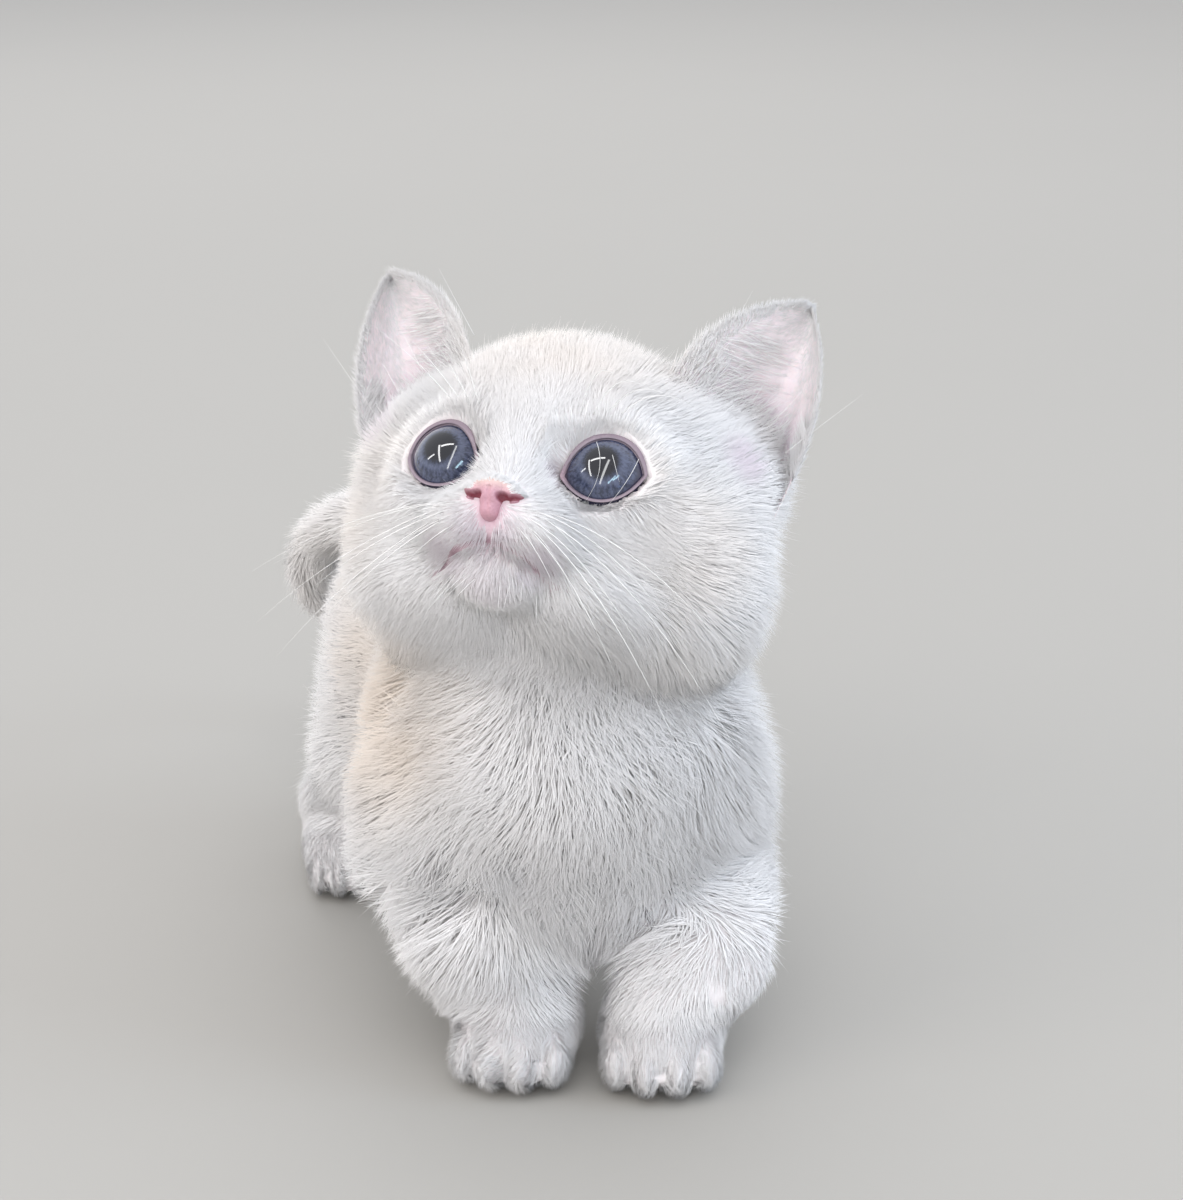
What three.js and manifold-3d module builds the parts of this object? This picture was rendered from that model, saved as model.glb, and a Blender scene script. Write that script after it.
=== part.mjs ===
// A munchkin kitten on four short legs, its head turned and lifted: a still, life-size model.
// Lengths are millimetres and +Z is up. The body faces -Y, and the kitten's left side is +X.
// The coat is short and soft, so every surface here is the outer surface of the coat.
// The kitten is one smooth blend of round masses. Each part is a skin found by rays that run out
// from a spine to that blend, parted from its neighbours by thin flat cuts.
import * as THREE from "three";
import { mergeVertices } from "three/addons/utils/BufferGeometryUtils.js";
import Module from "manifold-3d";

// Driving dimensions of the trunk: how far each mass reaches from its own centre
const CHEST = { y: -23, z: 57, halfWidth: 37, halfLength: 38, halfHeight: 36 };
const SHOULDER = { x: 23, y: -22, z: 48, halfWidth: 18, halfLength: 25, halfHeight: 24 };
const BIB = { y: -42, z: 64, halfWidth: 27, halfLength: 19, halfHeight: 21 };
const APRON = { y: -39, z: 38, halfWidth: 22, halfLength: 16, halfHeight: 19 };
const BELLY = { y: 18, z: 56, halfWidth: 30.5, halfLength: 54, halfHeight: 34 };
const RUMP = { y: 50, z: 57, halfWidth: 28, halfLength: 35, halfHeight: 35 };

// Driving dimensions of the legs and tail. The forelegs are twisted about an upright line between them,
// by more and more from the top of the stance down to its bottom, so that the left paw stands ahead.
const STANCE = { y: -46, turn: -22, shiftX: -3.4, shiftY: -4, top: 36, bottom: 14, cutHeight: 26 };
const UPPER_ARM = { x: 29, y: -23, z: 46, radius: 13 };
const ELBOW = { x: 31, y: -26, z: 33, radius: 12 };
const FOREARM = { x: 20, y: -37, z: 24, radius: 16 };
const WRIST = { x: 14, y: -44, z: 14, radius: 11 };
const FORE_PAW = { x: 13.4, y: -46, halfWidth: 12.6, halfLength: 15, height: 15, toeOut: 4 };
const THIGH = { x: 19, y: 47, z: 38, halfWidth: 14, halfLength: 24, halfHeight: 27 };
const KNEE = { x: 23, y: 47, z: 32, radius: 14 };
const HOCK = { x: 26, y: 66, z: 14, radius: 8.5 };
const HIND_PAW = { x: 28.5, y: 51, halfWidth: 9.5, halfLength: 13, height: 14, toeOut: 8 };
const TAIL = { rootRadius: 10, tipRadius: 6.5 };
const TAIL_LINE = [
  { x: 0, y: 72, z: 68 },
  { x: -1, y: 90, z: 69 },
  { x: -8, y: 107, z: 65 },
  { x: -17, y: 121, z: 56 },
  { x: -17, y: 132, z: 43 },
  { x: -7, y: 139, z: 31 },
  { x: 6, y: 140, z: 24 },
];

// Driving dimensions of the head, in its own frame: the face looks along -Y
const HEAD = { x: -6.6, y: -36.4, z: 102.4, turn: -34.7, lift: -36.9, tilt: 0.6 };
const SKULL = { halfWidth: 35, front: -28, back: 36, crown: 39.5, base: -26 };
const CHEEK = { x: 24, y: 2, z: -8, halfWidth: 18, halfLength: 21, halfHeight: 19, sway: 2.5 };
const TEMPLE = { x: 29, y: 4, z: 9, halfWidth: 13, halfLength: 15, halfHeight: 14 };
const EAR_ROOT = { x: 28, y: 12, z: 21, halfWidth: 13, halfLength: 12, halfHeight: 14 };
const BRIDGE = { topY: -19, topZ: 8, topRadius: 8.5, tipY: -28.8, tipZ: -6, tipRadius: 6.2 };
const PAD = { x: 6.2, y: -27.6, z: -10.8, halfWidth: 8.2, halfLength: 8.4, halfHeight: 6.6 };
const UNDER_EYE = { x: 14, y: -17, z: -6, halfWidth: 12, halfLength: 10, halfHeight: 9 };
const JAW = { x: 12, y: -12, z: -16, halfWidth: 14, halfLength: 14, halfHeight: 10 };
const CHIN = { y: -23.2, z: -17.6, halfWidth: 9.5, halfLength: 7.4, halfHeight: 6.2 };
const EYE = { x: 14, y: -17.4, z: 3.6, radius: 8.3, out: 10, up: 3 };
const EYE_OPENING = { width: 13.6, height: 10.8 };
const LID_THICKNESS = 1.3;
const NOSE = { y: -37.6, z: -6.7, width: 10.6 };
const MOUTH = { philtrumTop: -10, fork: -13.6, cornerX: 11, cornerZ: -17.8, groove: 0.7 };
const EAR = {
  medial: { x: 21.6, y: -9, z: 33 },
  lateral: { x: 42, y: 3, z: 16.5 },
  tip: { x: 41.3, y: -4, z: 46.8 },
  medialBend: { x: 29, y: -8, z: 45 },
  lateralBend: { x: 47.5, y: -1, z: 33 },
  cup: 12,
  thickness: 2.6,
};
// Whiskers stand in rows across each pad. The further out one grows, the longer it is, and all of them sag.
const WHISKERS = { rows: 3, columns: 2, x: 7.4, z: -8.8, columnStep: 3.2, rowStep: 1.8, radius: 0.32 };
const WHISKER_LENGTH = { inner: 27, outer: 38, root: 3 };
const WHISKER_SAG = { left: 20, right: 9 };

// Clearances: the gap between parts, how far a skin runs past a cut, and the size of a cutting block
const GAP = 0.3;
const OVERRUN = 7;
const BLOCK = 400;

const SIDES = [
  { name: "left", sign: 1 },
  { name: "right", sign: -1 },
];

const wasm = await Module();
wasm.setup();

const vec = (x, y, z) => new THREE.Vector3(x, y, z);
const at = ({ x = 0, y, z }) => vec(x, y, z);
const rad = THREE.MathUtils.degToRad;
const { lerp } = THREE.MathUtils;

// Masses. Each is a function of x, y and z that is negative inside and grows outwards, in mm or so.

function ellipsoid(centre, radii) {
  const [cx, cy, cz] = centre;
  const [rx, ry, rz] = radii;
  return (x, y, z) => {
    const ux = (x - cx) / rx;
    const uy = (y - cy) / ry;
    const uz = (z - cz) / rz;
    const near = Math.hypot(ux, uy, uz);
    const steep = Math.hypot(ux / rx, uy / ry, uz / rz);
    return steep < 1e-9 ? -Math.min(rx, ry, rz) : (near * (near - 1)) / steep;
  };
}

// A limb between two round ends. The distance is taken from the nearest point of the line between them.
function limb(from, to, fromRadius, toRadius) {
  const along = to.clone().sub(from);
  const lengthSq = along.lengthSq();
  return (x, y, z) => {
    const dx = x - from.x;
    const dy = y - from.y;
    const dz = z - from.z;
    const dot = (dx * along.x + dy * along.y + dz * along.z) / lengthSq;
    const t = Math.min(1, Math.max(0, dot));
    const away = Math.hypot(dx - along.x * t, dy - along.y * t, dz - along.z * t);
    return away - lerp(fromRadius, toRadius, t);
  };
}

// Two masses joined with a fillet about as wide as the softness
function join(a, b, softness) {
  return (x, y, z) => {
    const da = a(x, y, z);
    const db = b(x, y, z);
    const h = Math.max(softness - Math.abs(da - db), 0) / softness;
    return Math.min(da, db) - (h * h * softness) / 4;
  };
}

const joinAll = (softness, ...masses) => masses.reduce((a, b) => join(a, b, softness));
const massOf = (m) => ellipsoid([m.x ?? 0, m.y, m.z], [m.halfWidth, m.halfLength, m.halfHeight]);
const onBothSides = (mass) => (x, y, z) => mass(Math.abs(x), y, z);

// A mass cut off a little beyond each face
const limitedTo = (mass, faces) => (x, y, z) =>
  faces.reduce((d, cut) => Math.max(d, beyond(cut, x, y, z) - OVERRUN), mass(x, y, z));

// A mass hollowed out where it runs deep into the space behind all of the faces
const clearOf = (mass, faces) => (x, y, z) => {
  const depth = faces.reduce((d, cut) => Math.max(d, beyond(cut, x, y, z)), -Infinity);
  return Math.max(mass(x, y, z), -depth - OVERRUN);
};

// Flat cuts. A face is a point and a normal, and the part kept lies behind it.

function face(point, normal) {
  return { point, normal: normal.clone().normalize() };
}

function flipped({ point, normal }) {
  return { point, normal: normal.clone().negate() };
}

function beyond({ point, normal }, x, y, z) {
  return (x - point.x) * normal.x + (y - point.y) * normal.y + (z - point.z) * normal.z;
}

function movedBy({ point, normal }, matrix) {
  return { point: point.clone().applyMatrix4(matrix), normal: normal.clone().transformDirection(matrix) };
}

// The head's own frame within the body's
const headPose = new THREE.Matrix4().compose(
  at(HEAD),
  new THREE.Quaternion().setFromEuler(
    new THREE.Euler(rad(HEAD.lift), rad(HEAD.tilt), rad(HEAD.turn), "ZXY"),
  ),
  vec(1, 1, 1),
);
const toHead = headPose.clone().invert();

// A mass of one frame, read in another: the matrix takes the reader's point into the mass's frame
function readThrough(mass, matrix) {
  const m = matrix.elements;
  return (x, y, z) =>
    mass(
      m[0] * x + m[4] * y + m[8] * z + m[12],
      m[1] * x + m[5] * y + m[9] * z + m[13],
      m[2] * x + m[6] * y + m[10] * z + m[14],
    );
}

// The head's masses, in its own frame

function skullMass() {
  const middle = (SKULL.front + SKULL.back) / 2;
  const level = (SKULL.crown + SKULL.base) / 2;
  return ellipsoid(
    [0, middle, level],
    [SKULL.halfWidth, (SKULL.back - SKULL.front) / 2, (SKULL.crown - SKULL.base) / 2],
  );
}

function cheekMass() {
  const ruffs = onBothSides(massOf(CHEEK));
  const swayed = (x, y, z) => ruffs(x - CHEEK.sway, y, z);
  return joinAll(6, swayed, onBothSides(massOf(TEMPLE)), onBothSides(massOf(EAR_ROOT)));
}

function muzzleMass() {
  const { topY, topZ, topRadius, tipY, tipZ, tipRadius } = BRIDGE;
  const bridge = limb(vec(0, topY, topZ), vec(0, tipY, tipZ), topRadius, tipRadius);
  const [jaws, underEyes, pads] = [JAW, UNDER_EYE, PAD].map((m) => onBothSides(massOf(m)));
  return join(joinAll(5, jaws, underEyes, bridge, pads), massOf(CHIN), 1.5);
}

const eyeCentre = (sign) => vec(sign * EYE.x, EYE.y, EYE.z);
const eyeAim = (sign) =>
  vec(0, -1, 0).applyEuler(new THREE.Euler(rad(-EYE.up), 0, rad(sign * EYE.out), "ZXY"));

function headMass() {
  const lids = ellipsoid([EYE.x, EYE.y, EYE.z], Array(3).fill(EYE.radius + LID_THICKNESS));
  const skull = join(skullMass(), cheekMass(), 12);
  return join(join(skull, muzzleMass(), 7), onBothSides(lids), 3);
}

// The body's masses

const forePaw = at({ ...FORE_PAW, z: FORE_PAW.height / 2 });
const hindPaw = at({ ...HIND_PAW, z: HIND_PAW.height / 2 });

// A paw is a round pad with four toes fanned across its front edge
function pawMass(paw, centre) {
  const turn = new THREE.Matrix4().makeRotationZ(rad(paw.toeOut)).setPosition(centre);
  const { halfWidth: w, halfLength: l, height: h } = paw;
  const pad = ellipsoid([0, 0, 0.3], [w, l, h * 0.56]);
  const toes = [-0.66, -0.23, 0.23, 0.66].map((across) => {
    const forward = -l * (Math.abs(across) > 0.5 ? 0.6 : 0.78);
    return ellipsoid([across * w, forward, -h * 0.14], [w * 0.3, l * 0.42, h * 0.36]);
  });
  return readThrough(joinAll(1.4, pad, ...toes), turn.invert());
}

function trunkMass() {
  const front = joinAll(12, massOf(CHEST), onBothSides(massOf(SHOULDER)), massOf(BIB), massOf(APRON));
  const back = joinAll(14, massOf(BELLY), massOf(RUMP), onBothSides(massOf(THIGH)));
  return join(front, back, 16);
}

// The forelegs are modelled square to the body. This moves them to their stance at one height.
function stanceAt(z) {
  const share = THREE.MathUtils.smoothstep(-z, -STANCE.top, -STANCE.bottom);
  const moved = new THREE.Matrix4().makeRotationZ(rad(share * STANCE.turn));
  moved.setPosition(share * STANCE.shiftX, STANCE.y + share * STANCE.shiftY, 0);
  return moved.multiply(new THREE.Matrix4().makeTranslation(0, -STANCE.y, 0));
}

const inStance = (point) => point.clone().applyMatrix4(stanceAt(point.z));

// The same twist undone, on plain numbers
function outOfStance(mass) {
  return (x, y, z) => {
    const share = THREE.MathUtils.smoothstep(-z, -STANCE.top, -STANCE.bottom);
    const angle = rad(share * STANCE.turn);
    const dx = x - share * STANCE.shiftX;
    const dy = y - share * STANCE.shiftY - STANCE.y;
    const squareX = dx * Math.cos(angle) + dy * Math.sin(angle);
    return mass(squareX, STANCE.y - dx * Math.sin(angle) + dy * Math.cos(angle), z);
  };
}

function legsMass() {
  const upperArm = limb(at(UPPER_ARM), at(ELBOW), UPPER_ARM.radius, ELBOW.radius);
  const forearm = limb(at(ELBOW), at(FOREARM), ELBOW.radius, FOREARM.radius);
  const pastern = limb(at(FOREARM), at(WRIST), FOREARM.radius, WRIST.radius);
  const shank = limb(at(KNEE), at(HOCK), KNEE.radius, HOCK.radius);
  const hindFoot = limb(at(HOCK), hindPaw, HOCK.radius, HIND_PAW.height / 2);
  const fore = join(joinAll(6, upperArm, forearm, pastern), pawMass(FORE_PAW, forePaw), 4);
  const hind = join(joinAll(6, shank, hindFoot), pawMass(HIND_PAW, hindPaw), 4);
  const forelegs = outOfStance(onBothSides(fore));
  const hindlegs = onBothSides(hind);
  return (x, y, z) => Math.min(forelegs(x, y, z), hindlegs(x, y, z));
}

// The tail hangs back from the rump, swings to the kitten's right and curls in again at its tip
const tailPath = new THREE.CatmullRomCurve3(TAIL_LINE.map(at));
const tailRadius = (t) => lerp(TAIL.rootRadius, TAIL.tipRadius, t);

function tailMass() {
  const count = 12;
  const points = tailPath.getSpacedPoints(count);
  const links = points.slice(1).map((point, i) =>
    limb(points[i], point, tailRadius(i / count), tailRadius((i + 1) / count)),
  );
  return (x, y, z) => links.reduce((d, link) => Math.min(d, link(x, y, z)), Infinity);
}

const nape = limb(vec(0, -14, 70), vec(0, 12, -4).applyMatrix4(headPose), 30, 29);
const bodyMass = join(join(trunkMass(), legsMass(), 9), tailMass(), 8);
const kitten = join(join(bodyMass, nape, 12), readThrough(headMass(), toHead), 5);
const kittenFromHead = readThrough(kitten, headPose);

// The distance from a point, along a direction, to where the mass ends
function reach(mass, origin, direction, limit) {
  const value = (s) =>
    mass(origin.x + direction.x * s, origin.y + direction.y * s, origin.z + direction.z * s);
  const step = 0.8;
  let far = step;
  while (far < limit && value(far) < 0) far += step;
  let near = far - step;
  for (let i = 0; i < 14; i += 1) {
    const half = (near + far) / 2;
    if (value(half) < 0) near = half;
    else far = half;
  }
  return near;
}

// A closed body from rings of points, with a single point at each end
function closedBody(first, rings, last) {
  const sectors = rings[0].length;
  const points = [first, ...rings.flat(), last];
  const ringStart = (i) => 1 + i * sectors;
  const index = [];
  for (let j = 0; j < sectors; j += 1) {
    const k = (j + 1) % sectors;
    index.push(0, ringStart(0) + k, ringStart(0) + j);
    for (let i = 0; i + 1 < rings.length; i += 1) {
      const [a, b] = [ringStart(i) + j, ringStart(i) + k];
      const [c, d] = [ringStart(i + 1) + j, ringStart(i + 1) + k];
      index.push(a, b, d, a, d, c);
    }
    const end = ringStart(rings.length - 1);
    index.push(points.length - 1, end + j, end + k);
  }
  return facingOut(points, index);
}

// Turns every triangle over if the body is inside out
function facingOut(points, index) {
  let volume = 0;
  for (let i = 0; i < index.length; i += 3) {
    const [a, b, c] = [points[index[i]], points[index[i + 1]], points[index[i + 2]]];
    volume += a.dot(vec().crossVectors(b, c));
  }
  const turned = volume < 0 ? index.slice().reverse() : index;
  const geometry = new THREE.BufferGeometry().setFromPoints(points);
  geometry.setIndex(turned);
  return geometry;
}

// A skin over a mass. Rays fan out from one end of the spine, round its sides, then from its other end.
function skin(mass, spine, { sectors, frontRings, sideRings, backRings, crowding = 1, limit = 90 }) {
  const up = Math.abs(spine.getTangent(0).z) > 0.9 ? vec(0, -1, 0) : vec(0, 0, 1);
  const cast = (t, tilt) => {
    const origin = spine.getPoint(t);
    const along = spine.getTangent(t);
    const across = vec().crossVectors(along, up).normalize();
    const over = vec().crossVectors(across, along);
    return (angle) => {
      const direction = across.clone().multiplyScalar(Math.cos(angle) * Math.cos(tilt));
      direction.addScaledVector(over, Math.sin(angle) * Math.cos(tilt));
      direction.addScaledVector(along, Math.sin(tilt)).normalize();
      return origin.clone().addScaledVector(direction, reach(mass, origin, direction, limit));
    };
  };
  const ring = (t, tilt) => {
    const point = cast(t, tilt);
    return Array.from({ length: sectors }, (_, j) => point((2 * Math.PI * j) / sectors));
  };
  const rings = [];
  const quarter = Math.PI / 2;
  const frontTilt = (i) => (Math.pow(i / frontRings, crowding) - 1) * quarter;
  for (let i = 1; i < frontRings; i += 1) rings.push(ring(0, frontTilt(i)));
  for (let i = 0; i <= sideRings; i += 1) rings.push(ring(i / sideRings, 0));
  for (let i = backRings - 1; i > 0; i -= 1) rings.push(ring(1, (1 - i / backRings) * quarter));
  return closedBody(cast(0, -quarter)(0), rings, cast(1, quarter)(0));
}

// Solids and meshes

function toSolid(geometry) {
  const bare = geometry.clone();
  bare.deleteAttribute("normal");
  bare.deleteAttribute("uv");
  const merged = mergeVertices(bare, 1e-5);
  const vertProperties = new Float32Array(merged.attributes.position.array);
  const triVerts = new Uint32Array(merged.index.array);
  return new wasm.Manifold(new wasm.Mesh({ numProp: 3, vertProperties, triVerts }));
}

function toGeometry(solid) {
  const { vertProperties, triVerts } = solid.getMesh();
  const geometry = new THREE.BufferGeometry();
  geometry.setAttribute("position", new THREE.BufferAttribute(new Float32Array(vertProperties), 3));
  geometry.setIndex(new THREE.BufferAttribute(new Uint32Array(triVerts), 1));
  return geometry;
}

// A block that fills the far side of a face, starting the given distance in front of it
function blockBeyond({ point, normal }, distance) {
  const block = new THREE.BoxGeometry(BLOCK, BLOCK, BLOCK);
  block.translate(0, 0, BLOCK / 2 + distance);
  block.applyQuaternion(new THREE.Quaternion().setFromUnitVectors(vec(0, 0, 1), normal));
  block.translate(point.x, point.y, point.z);
  return toSolid(block);
}

const cutBehind = (solid, faces) =>
  faces.reduce((left, cut) => left.subtract(blockBeyond(cut, -GAP / 2)), solid);

// The space behind all of the faces, grown by half a gap
function spaceBehind(faces) {
  const whole = toSolid(new THREE.BoxGeometry(BLOCK, BLOCK, BLOCK));
  return faces.reduce((left, cut) => left.subtract(blockBeyond(cut, GAP / 2)), whole);
}

function largest(solid) {
  return solid.decompose().reduce((a, b) => (a.volume() > b.volume() ? a : b));
}

function material(color, roughness) {
  return new THREE.MeshStandardMaterial({ color, roughness, metalness: 0 });
}

const finishes = {
  coat: material(0xece6df, 0.95),
  cream: material(0xe3cdb6, 0.95),
  nose: material(0xc98f8c, 0.55),
  eye: material(0x3c4a66, 0.08),
};

function part(name, solid, finish) {
  const mesh = new THREE.Mesh(toGeometry(largest(solid)), finish);
  mesh.geometry.computeVertexNormals();
  mesh.name = name;
  return mesh;
}

// Where the parts meet

const floor = face(vec(0, 0, -GAP / 2), vec(0, 0, -1));
const cuts = {
  head: face(vec(0, -30, 86.5), vec(0, 0.2, -0.98)),
  neck: face(vec(0, -30, 74), vec(0, 0.38, -0.925)),
  chest: face(vec(0, 8, 50), vec(0, 1, 0)),
  belly: face(vec(0, 33, 50), vec(0, 1, 0)),
  rump: face(vec(0, 88, 69), vec(0, 1, 0)),
  tailBase: face(tailPath.getPointAt(0.42), tailPath.getTangentAt(0.42)),
  tailMiddle: face(tailPath.getPointAt(0.7), tailPath.getTangentAt(0.7)),
  wrist: face(vec(15, -42, 17), vec(0, -0.15, -0.99)),
  ankle: face(vec(28, 58, 17), vec(0, 0, -1)),
};

// The cuts that bound a leg on one side: above it, towards the other leg, and along the body
function legCuts(sign, { above, inner, slope, start, end }) {
  const bounds = [
    face(vec(sign * above.x, above.y, above.z), vec(-sign * slope, 0, 1)),
    face(vec(sign * inner, 0, 0), vec(-sign, 0, 0)),
  ];
  if (start !== undefined) bounds.push(face(vec(0, start, 0), vec(0, -1, 0)));
  if (end !== undefined) bounds.push(face(vec(0, end, 0), vec(0, 1, 0)));
  return bounds;
}

// The cuts round a foreleg turn with its stance, as it is half way up the leg, but not the one behind it
const foreLegCuts = (sign) => {
  const square = { above: { x: 24, y: 0, z: 36 }, inner: 0, slope: 0.45, end: -7 };
  const [above, inner, end] = legCuts(sign, square);
  const turned = stanceAt(STANCE.cutHeight);
  return [movedBy(above, turned), movedBy(inner, turned), end];
};
const hindLegCuts = (sign) =>
  legCuts(sign, { above: { x: 22, y: 0, z: 38 }, inner: 4, slope: 0.6, start: 33 });

// The head's parts, in its own frame

function ballAt(centre, radius, columns, rows) {
  const ball = new THREE.SphereGeometry(radius, columns, rows);
  ball.rotateX(Math.PI / 2);
  ball.translate(centre.x, centre.y, centre.z);
  return ball;
}

// The opening between the lids: a prism along the eye's aim, rounder above and pointed at both corners
function lidOpening(sign) {
  const { width, height } = EYE_OPENING;
  const outline = new THREE.Shape();
  outline.moveTo(-width / 2, -0.16 * height);
  const [w, h] = [width, height];
  outline.bezierCurveTo(-0.32 * w, 0.72 * h, 0.3 * w, 0.78 * h, w / 2, 0.06 * h);
  outline.bezierCurveTo(0.34 * w, -0.62 * h, -0.2 * w, -0.72 * h, -w / 2, -0.16 * h);
  const prism = new THREE.ExtrudeGeometry(outline, { depth: 30, bevelEnabled: false, curveSegments: 9 });
  prism.scale(sign, 1, 1);
  if (sign < 0) turnOver(prism);
  prism.rotateX(Math.PI / 2);
  prism.applyQuaternion(new THREE.Quaternion().setFromUnitVectors(vec(0, -1, 0), eyeAim(sign)));
  const centre = eyeCentre(sign);
  prism.translate(centre.x, centre.y, centre.z);
  return toSolid(prism);
}

function turnOver(geometry) {
  const { position } = geometry.attributes;
  for (let i = 0; i < position.count; i += 3) {
    const a = vec().fromBufferAttribute(position, i);
    const c = vec().fromBufferAttribute(position, i + 2);
    position.setXYZ(i, c.x, c.y, c.z);
    position.setXYZ(i + 2, a.x, a.y, a.z);
  }
}

// The nose leather: a bar across the top, two wings and a narrow foot
function noseMass() {
  const w = NOSE.width / 2;
  const bar = ellipsoid([0, NOSE.y + 3, NOSE.z + 1.5], [w * 0.86, 2.5, 1.9]);
  const wing = onBothSides(ellipsoid([w * 0.66, NOSE.y + 3.4, NOSE.z - 0.5], [w * 0.36, 2.6, 2]));
  const tip = ellipsoid([0, NOSE.y + 2.4, NOSE.z], [2.3, 2.4, 2.9]);
  const foot = ellipsoid([0, NOSE.y + 3.2, NOSE.z - 3], [1.7, 2.2, 1.7]);
  return joinAll(1, bar, wing, tip, foot);
}

// A nostril opens forward beside the tip and runs out to a slit in the wing
function nostril(sign) {
  const w = NOSE.width / 2;
  const hole = new THREE.SphereGeometry(1, 10, 8);
  hole.scale(1.35, 2.2, 0.85);
  hole.rotateY(sign * 0.45);
  hole.translate(sign * w * 0.5, NOSE.y + 1.1, NOSE.z - 0.9);
  const slit = new THREE.SphereGeometry(1, 10, 8);
  slit.scale(1.8, 1.6, 0.42);
  slit.rotateY(-sign * 0.1);
  slit.translate(sign * w * 0.86, NOSE.y + 2, NOSE.z - 0.6);
  return toSolid(hole).add(toSolid(slit));
}

// The point of the face straight behind a place in front of it
function onFace(x, z) {
  const start = vec(x, -60, z);
  const outside = (px, py, pz) => -kittenFromHead(px, py, pz);
  return start.addScaledVector(vec(0, 1, 0), reach(outside, start, vec(0, 1, 0), 60));
}

// A round groove along the face
function groove(places, radius) {
  const path = new THREE.CatmullRomCurve3(places.map(([x, z]) => onFace(x, z)));
  const circle = new THREE.Shape().absarc(0, 0, radius, 0, 2 * Math.PI);
  const tube = new THREE.ExtrudeGeometry(circle, { extrudePath: path, steps: 9, curveSegments: 3 });
  return toSolid(tube);
}

function mouthLine() {
  const { philtrumTop, fork, cornerX, cornerZ, groove: radius } = MOUTH;
  const branch = (sign) => [
    [0, fork],
    [sign * cornerX * 0.34, lerp(fork, cornerZ, 0.42)],
    [sign * cornerX * 0.7, lerp(fork, cornerZ, 0.8)],
    [sign * cornerX, cornerZ],
  ];
  const philtrum = groove([[0, philtrumTop], [0, (philtrumTop + fork) / 2], [0, fork - 0.4]], radius * 0.7);
  return philtrum.add(groove(branch(1), radius)).add(groove(branch(-1), radius));
}

// A whisker's middle line: sunk into the pad at its root, then out to the side, and bent down by its weight
function whiskerLine(sign, row, column) {
  const { columns, x, z, columnStep, rowStep } = WHISKERS;
  const { inner, outer, root } = WHISKER_LENGTH;
  const start = onFace(sign * (x + column * columnStep), z - row * rowStep);
  const direction = vec(sign * 0.8, 0.04 + 0.1 * column, -0.22 - 0.24 * row).normalize();
  const down = vec(0, 0, -1).transformDirection(toHead);
  const length = lerp(inner, outer, column / (columns - 1));
  const sag = sign > 0 ? WHISKER_SAG.left : WHISKER_SAG.right;
  const straight = (t) => start.clone().addScaledVector(direction, length * t);
  const along = (t) => straight(t).addScaledVector(down, sag * t * t);
  return [start.clone().addScaledVector(vec(0, 1, 0), root), ...[0, 0.15, 0.35, 0.6, 0.82, 1].map(along)];
}

// A four-sided tube along a line, from a radius at its root to a fine tip
function taperedTube(line, radius) {
  const rings = line.slice(0, -1).map((point, i) => {
    const along = line[i + 1].clone().sub(line[Math.max(i - 1, 0)]).normalize();
    const across = vec().crossVectors(along, vec(0.2, 0.3, 0.93)).normalize().multiplyScalar(radius);
    const over = vec().crossVectors(across, along);
    const thin = 1 - (0.5 * i) / line.length;
    return [across, over, across.clone().negate(), over.clone().negate()].map((arm) =>
      point.clone().addScaledVector(arm, thin),
    );
  });
  return closedBody(line[0], rings, line[line.length - 1]);
}

function whiskers(sign) {
  const tubes = [];
  for (let row = 0; row < WHISKERS.rows; row += 1) {
    for (let column = 0; column < WHISKERS.columns; column += 1) {
      tubes.push(toSolid(taperedTube(whiskerLine(sign, row, column), WHISKERS.radius)));
    }
  }
  return tubes.reduce((a, b) => a.add(b));
}

const neckCuts = [movedBy(cuts.head, toHead)];
const headSpine = new THREE.LineCurve3(vec(0, -6, 0), vec(0, 14, -5));
const HEAD_DETAIL = { sectors: 52, frontRings: 20, sideRings: 6, backRings: 7, crowding: 1.1 };

function headSolid() {
  const whole = toSolid(skin(limitedTo(kittenFromHead, neckCuts), headSpine, HEAD_DETAIL));
  let solid = cutBehind(whole, neckCuts);
  for (const { sign } of SIDES) {
    solid = solid.subtract(toSolid(ballAt(eyeCentre(sign), EYE.radius + GAP, 22, 14)));
    solid = solid.subtract(lidOpening(sign));
  }
  solid = solid.subtract(toSolid(noseSkin(GAP)));
  solid = solid.subtract(mouthLine());
  return solid.add(whiskers(1)).add(whiskers(-1));
}

function noseSkin(growth) {
  const mass = noseMass();
  const spine = new THREE.LineCurve3(vec(0, NOSE.y + 3.2, NOSE.z - 1), vec(0, NOSE.y + 4, NOSE.z - 0.6));
  const detail = { sectors: 18, frontRings: 6, sideRings: 1, backRings: 4 };
  return skin((x, y, z) => mass(x, y, z) - growth, spine, detail);
}

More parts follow.
